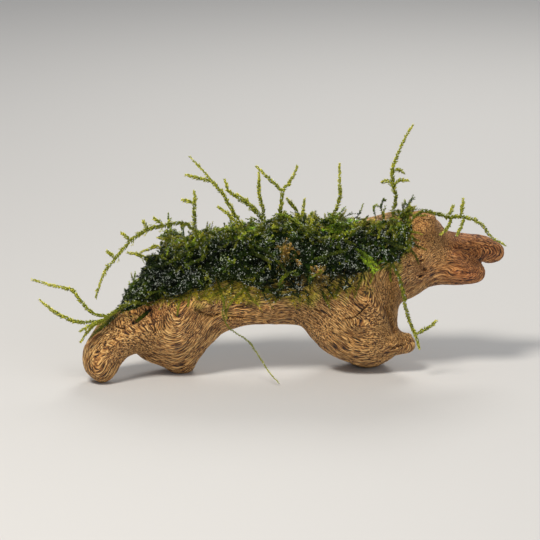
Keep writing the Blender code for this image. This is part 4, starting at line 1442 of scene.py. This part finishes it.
def new_material(name, roughness):
    made = bpy.data.materials.new(name)
    made.use_nodes = True
    shader = made.node_tree.nodes["Principled BSDF"]
    shader.inputs["Roughness"].default_value = roughness
    return made, made.node_tree, shader


def add_node(tree, kind, **settings):
    made = tree.nodes.new(kind)
    for key, value in settings.items():
        if key in made.inputs:
            made.inputs[key].default_value = value
        else:
            setattr(made, key, value)
    return made


def attribute(tree, name):
    return add_node(tree, "ShaderNodeAttribute", attribute_name=name).outputs["Fac"]


def ramp(tree, factor, stops):
    """A colour ramp over the factor, whose stops are a place and a colour."""
    made = tree.nodes.new("ShaderNodeValToRGB")
    while len(made.color_ramp.elements) < len(stops):
        made.color_ramp.elements.new(0.5)
    for element, (place, colour) in zip(made.color_ramp.elements, stops):
        element.position = place
        element.color = (*colour, 1.0)
    tree.links.new(factor, made.inputs["Fac"])
    return made.outputs["Color"]


def mix(tree, factor, first, second, blend="MIX"):
    made = tree.nodes.new("ShaderNodeMix")
    made.data_type = "RGBA"
    made.blend_type = blend
    for socket, value in ((made.inputs[0], factor), (made.inputs[6], first), (made.inputs[7], second)):
        if isinstance(value, bpy.types.NodeSocket):
            tree.links.new(value, socket)
        elif isinstance(value, tuple):
            socket.default_value = (*value, 1.0)
        else:
            socket.default_value = value
    return made.outputs[2]


def maths(tree, operation, first, second=0.0, third=0.0):
    made = tree.nodes.new("ShaderNodeMath")
    made.operation = operation
    for socket, value in zip(made.inputs, (first, second, third)):
        if isinstance(value, bpy.types.NodeSocket):
            tree.links.new(value, socket)
        else:
            socket.default_value = value
    return made.outputs[0]


def streaks(tree, across, along, detail):
    """Streaks that follow the grain, with their width across it and their length along it."""
    place = add_node(tree, "ShaderNodeTexCoord").outputs["Object"]
    scaled = add_node(tree, "ShaderNodeVectorMath", operation="MULTIPLY")
    tree.links.new(place, scaled.inputs[0])
    scaled.inputs[1].default_value = (1000 / along, 1000 / across, 1000 / along)
    noise = add_node(tree, "ShaderNodeTexNoise", noise_dimensions="4D", Scale=1.0, Detail=detail)
    tree.links.new(scaled.outputs[0], noise.inputs["Vector"])
    tree.links.new(maths(tree, "DIVIDE", attribute(tree, "grain"), across), noise.inputs["W"])
    return noise.outputs["Fac"]


def cloud(tree, scale, detail):
    """Plain noise with no direction."""
    made = add_node(tree, "ShaderNodeTexNoise", Scale=scale, Detail=detail)
    tree.links.new(add_node(tree, "ShaderNodeTexCoord").outputs["Object"], made.inputs["Vector"])
    return made.outputs["Fac"]


def dent(tree, shader, height, strength):
    """Lets the height roughen the surface."""
    bump = add_node(tree, "ShaderNodeBump", Strength=strength, Distance=BUMP_DEPTH)
    tree.links.new(height, bump.inputs["Height"])
    tree.links.new(bump.outputs["Normal"], shader.inputs["Normal"])


def weathered_wood():
    """Tan driftwood along the grain, its grooves darker and its crests brighter, partly in the grain's own
    colour and partly as painted shade and painted highlights, with algae near the moss and redder branches."""
    made, tree, shader = new_material("weathered_driftwood", 0.62)
    fine = streaks(tree, 0.15, 2.2, 0.5)
    middle = streaks(tree, 0.28, 6.0, 0.5)
    coarse = streaks(tree, 2.0, 16.0, 1.0)
    turns = maths(tree, "MULTIPLY_ADD", attribute(tree, "grain"), math.tau / RIPPLE_PITCH, 0.0)
    turns = maths(tree, "ADD", turns, maths(tree, "MULTIPLY", coarse, 16.0))
    ripple = maths(tree, "MULTIPLY", maths(tree, "SINE", turns), 0.13)
    # The rib heights also colour the wood: grooves painted darker as shade, crests painted lighter as
    # highlights.
    level = maths(tree, "MULTIPLY_ADD", attribute(tree, "rib"), 0.6, -2.07)
    for part, share in ((fine, 1.5), (middle, 2.8), (coarse, 0.3)):
        level = maths(tree, "ADD", level, maths(tree, "MULTIPLY", part, share))
    level = maths(tree, "ADD", level, ripple)
    bark = maths(tree, "MULTIPLY_ADD", cloud(tree, 1500.0, 3.0), 2.6, -0.72)
    knobbly = attribute(tree, "knobbly")
    grained = maths(tree, "MULTIPLY", level, maths(tree, "SUBTRACT", 1.0, knobbly))
    level = maths(tree, "ADD", grained, maths(tree, "MULTIPLY", bark, knobbly))
    # Painted shade in the cracks, broken up by the fine streaks, darkens the wood there.
    broken = maths(tree, "MULTIPLY_ADD", fine, 0.9, -0.45)
    painted_crack_shade = maths(tree, "ADD", attribute(tree, "painted_crack_shade"), broken)
    painted_crack_shade = maths(tree, "MULTIPLY_ADD", painted_crack_shade, 1.6, -0.35)
    painted_crack_shade.node.use_clamp = True
    level = maths(tree, "SUBTRACT", level, maths(tree, "MULTIPLY", painted_crack_shade, 0.7))
    # The tan runs from near black, painted shade deep in grooves and cracks, through the wood's own tan to
    # bright crests that are partly painted highlight.
    tan_stops = [
        (0.0, (0.008, 0.003, 0.001)),
        (0.2, (0.05, 0.016, 0.003)),
        (0.35, (0.21, 0.078, 0.016)),
        (0.54, (0.44, 0.19, 0.045)),
        (0.78, (0.76, 0.39, 0.105)),
        (1.0, (1.0, 0.64, 0.25)),
    ]
    algae_stops = [
        (0.1, (0.022, 0.018, 0.002)),
        (0.5, (0.27, 0.2, 0.018)),
        (0.9, (0.85, 0.66, 0.11)),
    ]
    tan = ramp(tree, level, tan_stops)
    red = mix(tree, attribute(tree, "red"), (1.0, 1.0, 1.0), (0.78, 0.52, 0.42))
    tan = mix(tree, 1.0, tan, red, "MULTIPLY")
    pale = mix(tree, attribute(tree, "pale"), (1.0, 1.0, 1.0), (1.35, 1.28, 1.1))
    tan = mix(tree, 1.0, tan, pale, "MULTIPLY")
    green = ramp(tree, level, algae_stops)
    cover = maths(tree, "MULTIPLY_ADD", attribute(tree, "algae"), 1.7, -1.0)
    cover = maths(tree, "ADD", cover, maths(tree, "MULTIPLY_ADD", cloud(tree, 260.0, 4.0), 1.8, -0.4))
    cover.node.use_clamp = True
    tree.links.new(mix(tree, cover, tan, green), shader.inputs["Base Color"])
    dent(tree, shader, level, 0.8)
    return made


def moss_material(name, stops, vivid, glint_share, patches=None, clustered=False):
    """Leaves whose green runs from old to young with their tone, and a few of them are painted pale as
    glints. The patches have their number to a metre, their dark and their bright. Clustered painted glints
    lie in groups."""
    found = bpy.data.materials.get(name)
    if found:
        return found
    made, tree, shader = new_material(name, 0.5)
    green = ramp(tree, attribute(tree, "tone"), stops)
    tint = attribute(tree, "tint")
    green = mix(tree, tint, green, mix(tree, 1.0, green, vivid, "MULTIPLY"))
    dead = ramp(tree, attribute(tree, "tone"), [(0.3, (0.16, 0.08, 0.012)), (1.0, (0.95, 0.64, 0.2))])
    green = mix(tree, maths(tree, "LESS_THAN", tint, -0.5), green, dead)
    shade = attribute(tree, "shade")
    varied = ramp(tree, shade, [(0.0, (0.5, 0.55, 0.6)), (0.6, (1.0, 1.0, 1.0)), (1.0, (1.6, 1.45, 1.2))])
    green = mix(tree, 1.0, green, varied, "MULTIPLY")
    glint_threshold = 1 - glint_share
    if patches:
        number, dark, bright = patches
        patchwork = ramp(tree, cloud(tree, number, 2.0), [(0.4, dark), (0.6, bright)])
        green = mix(tree, 1.0, green, patchwork, "MULTIPLY")
    if clustered:
        glint_threshold = maths(tree, "MULTIPLY_ADD", cloud(tree, 210.0, 2.0), -1.1, 0.55 + glint_threshold)
        glint_threshold = maths(tree, "MULTIPLY_ADD", attribute(tree, "tone"), 0.12, glint_threshold)
        glint_threshold = maths(tree, "MINIMUM", glint_threshold, 0.985)
    # Painted glints: leaves whose shade passes the threshold are coloured pale, as the highlights off wet
    # leaves.
    painted_glint = maths(tree, "GREATER_THAN", shade, glint_threshold)
    green = mix(tree, painted_glint, green, (0.93, 1.0, 0.86))
    tree.links.new(green, shader.inputs["Base Color"])
    shader.inputs["Specular IOR Level"].default_value = 0.15
    shader.inputs["Coat Weight"].default_value = 0.3
    shader.inputs["Coat Roughness"].default_value = 0.08
    return made


def painted_shade_bed():
    """The matted old moss between the shoots, painted nearly black green as the shade deep in the mat, with
    pale specks painted as glints; without gloss.
    """
    found = bpy.data.materials.get("matted_moss_with_painted_shade")
    if found:
        return found
    made, tree, shader = new_material("matted_moss_with_painted_shade", 0.95)
    speckle = cloud(tree, 1300.0, 3.0)
    # The dark stops are painted shade between the shoots; the pale last stop paints glints on the specks.
    stops = [
        (0.35, (0.001, 0.003, 0.001)),
        (0.5, (0.01, 0.02, 0.004)),
        (0.62, (0.08, 0.11, 0.012)),
        (0.66, (0.5, 0.56, 0.42)),
    ]
    tree.links.new(ramp(tree, speckle, stops), shader.inputs["Base Color"])
    shader.inputs["Specular IOR Level"].default_value = 0.1
    dent(tree, shader, speckle, 1.0)
    return made


def moss_with_painted_glints():
    stops = [
        (0.0, (0.002, 0.004, 0.0015)),
        (0.25, (0.01, 0.027, 0.004)),
        (0.5, (0.055, 0.1, 0.009)),
        (0.75, (0.28, 0.3, 0.026)),
        (1.0, (0.66, 0.62, 0.09)),
    ]
    # Painted shade and light: random patches of the mat darkened as its shaded hollows, and others
    # lightened.
    patchy_light_and_shade = (130.0, (0.4, 0.45, 0.35), (1.35, 1.3, 1.1))
    return moss_material("moss_with_painted_glints", stops, (0.85, 1.6, 0.6), 0.12, patchy_light_and_shade, clustered=True)


def golden_moss():
    stops = [
        (0.0, (0.012, 0.018, 0.004)),
        (0.3, (0.15, 0.14, 0.014)),
        (0.6, (0.5, 0.43, 0.04)),
        (1.0, (0.95, 0.8, 0.15)),
    ]
    mottle = (550.0, (0.42, 0.42, 0.4), (1.5, 1.42, 1.1))
    return moss_material("golden_moss", stops, (0.95, 1.2, 0.7), 0.05, mottle)


def shoot_moss():
    stops = [
        (0.0, (0.025, 0.045, 0.008)),
        (0.3, (0.22, 0.24, 0.025)),
        (0.6, (0.52, 0.52, 0.055)),
        (1.0, (0.86, 0.8, 0.17)),
    ]
    return moss_material("shoot_moss", stops, (1.05, 1.2, 0.8), 0.05)


def make_floor():
    unselect()
    bpy.ops.mesh.primitive_plane_add(size=8.0, location=(0, 0, 0))
    floor = bpy.context.object
    floor.name = "floor"
    made, _, shader = new_material("pale_floor", 0.75)
    shader.inputs["Base Color"].default_value = (0.62, 0.61, 0.59, 1.0)
    floor.data.materials.append(made)


def make_light(name, place, size, power, colour):
    data = bpy.data.lights.new(name, "AREA")
    data.shape = "DISK"
    data.size = size
    data.energy = power
    data.color = colour
    made = bpy.data.objects.new(name, data)
    bpy.context.scene.collection.objects.link(made)
    made.location = place
    made.rotation_euler = (LIT_PLACE - Vector(place)).to_track_quat("-Z", "Y").to_euler()


def make_studio():
    make_floor()
    make_light("key", (-0.35, -0.5, 0.95), 0.3, 10.0, (1.0, 0.95, 0.88))
    make_light("fill", (0.9, -0.7, 0.5), 1.0, 2.5, (0.92, 0.96, 1.0))
    make_light("rim", (0.2, 0.8, 0.75), 0.5, 4.0, (1.0, 0.98, 0.94))
    world = bpy.data.worlds.new("studio")
    world.use_nodes = True
    sky = world.node_tree.nodes["Background"]
    sky.inputs["Color"].default_value = (0.9, 0.93, 1.0, 1.0)
    sky.inputs["Strength"].default_value = 0.3
    bpy.context.scene.world = world
    bpy.context.scene.view_settings.view_transform = "Standard"


def make_camera():
    """A long lens in front of the wood that looks 15 degrees down, with a frame 270 mm wide."""
    data = bpy.data.cameras.new("camera")
    data.lens = 200.0
    data.sensor_width = 36.0
    made = bpy.data.objects.new("camera", data)
    bpy.context.scene.collection.objects.link(made)
    width = 0.270
    distance = width * data.lens / data.sensor_width
    middle = Vector((-0.0005, 0, 0.0508 / math.cos(VIEW_DOWN)))
    back = Vector((0, -math.cos(VIEW_DOWN), math.sin(VIEW_DOWN)))
    made.location = middle + back * distance
    made.rotation_euler = (math.pi / 2 - VIEW_DOWN, 0, 0)
    data.clip_start, data.clip_end = 0.05, 20.0
    bpy.context.scene.camera = made


def main():
    make_camera()
    make_studio()
    moss_trees = [surface_tree(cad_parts[node].data) for node in CLUMPS]
    wood = make_driftwood(moss_trees)
    wood_tree = surface_tree(wood.data)
    skins = {node: clump_skin(node, wood_tree) for node in CLUMPS}
    mat_tree = corner_tree(np.concatenate([corners for corners, *_ in skins.values()]))
    for node, skin in skins.items():
        make_clump(node, skin, mat_tree, wood_tree)
    for seed, (name, paths) in enumerate(SHOOTS.items()):
        make_shoot(name, paths, FIRST_SHOOT_SEED + seed)


main()
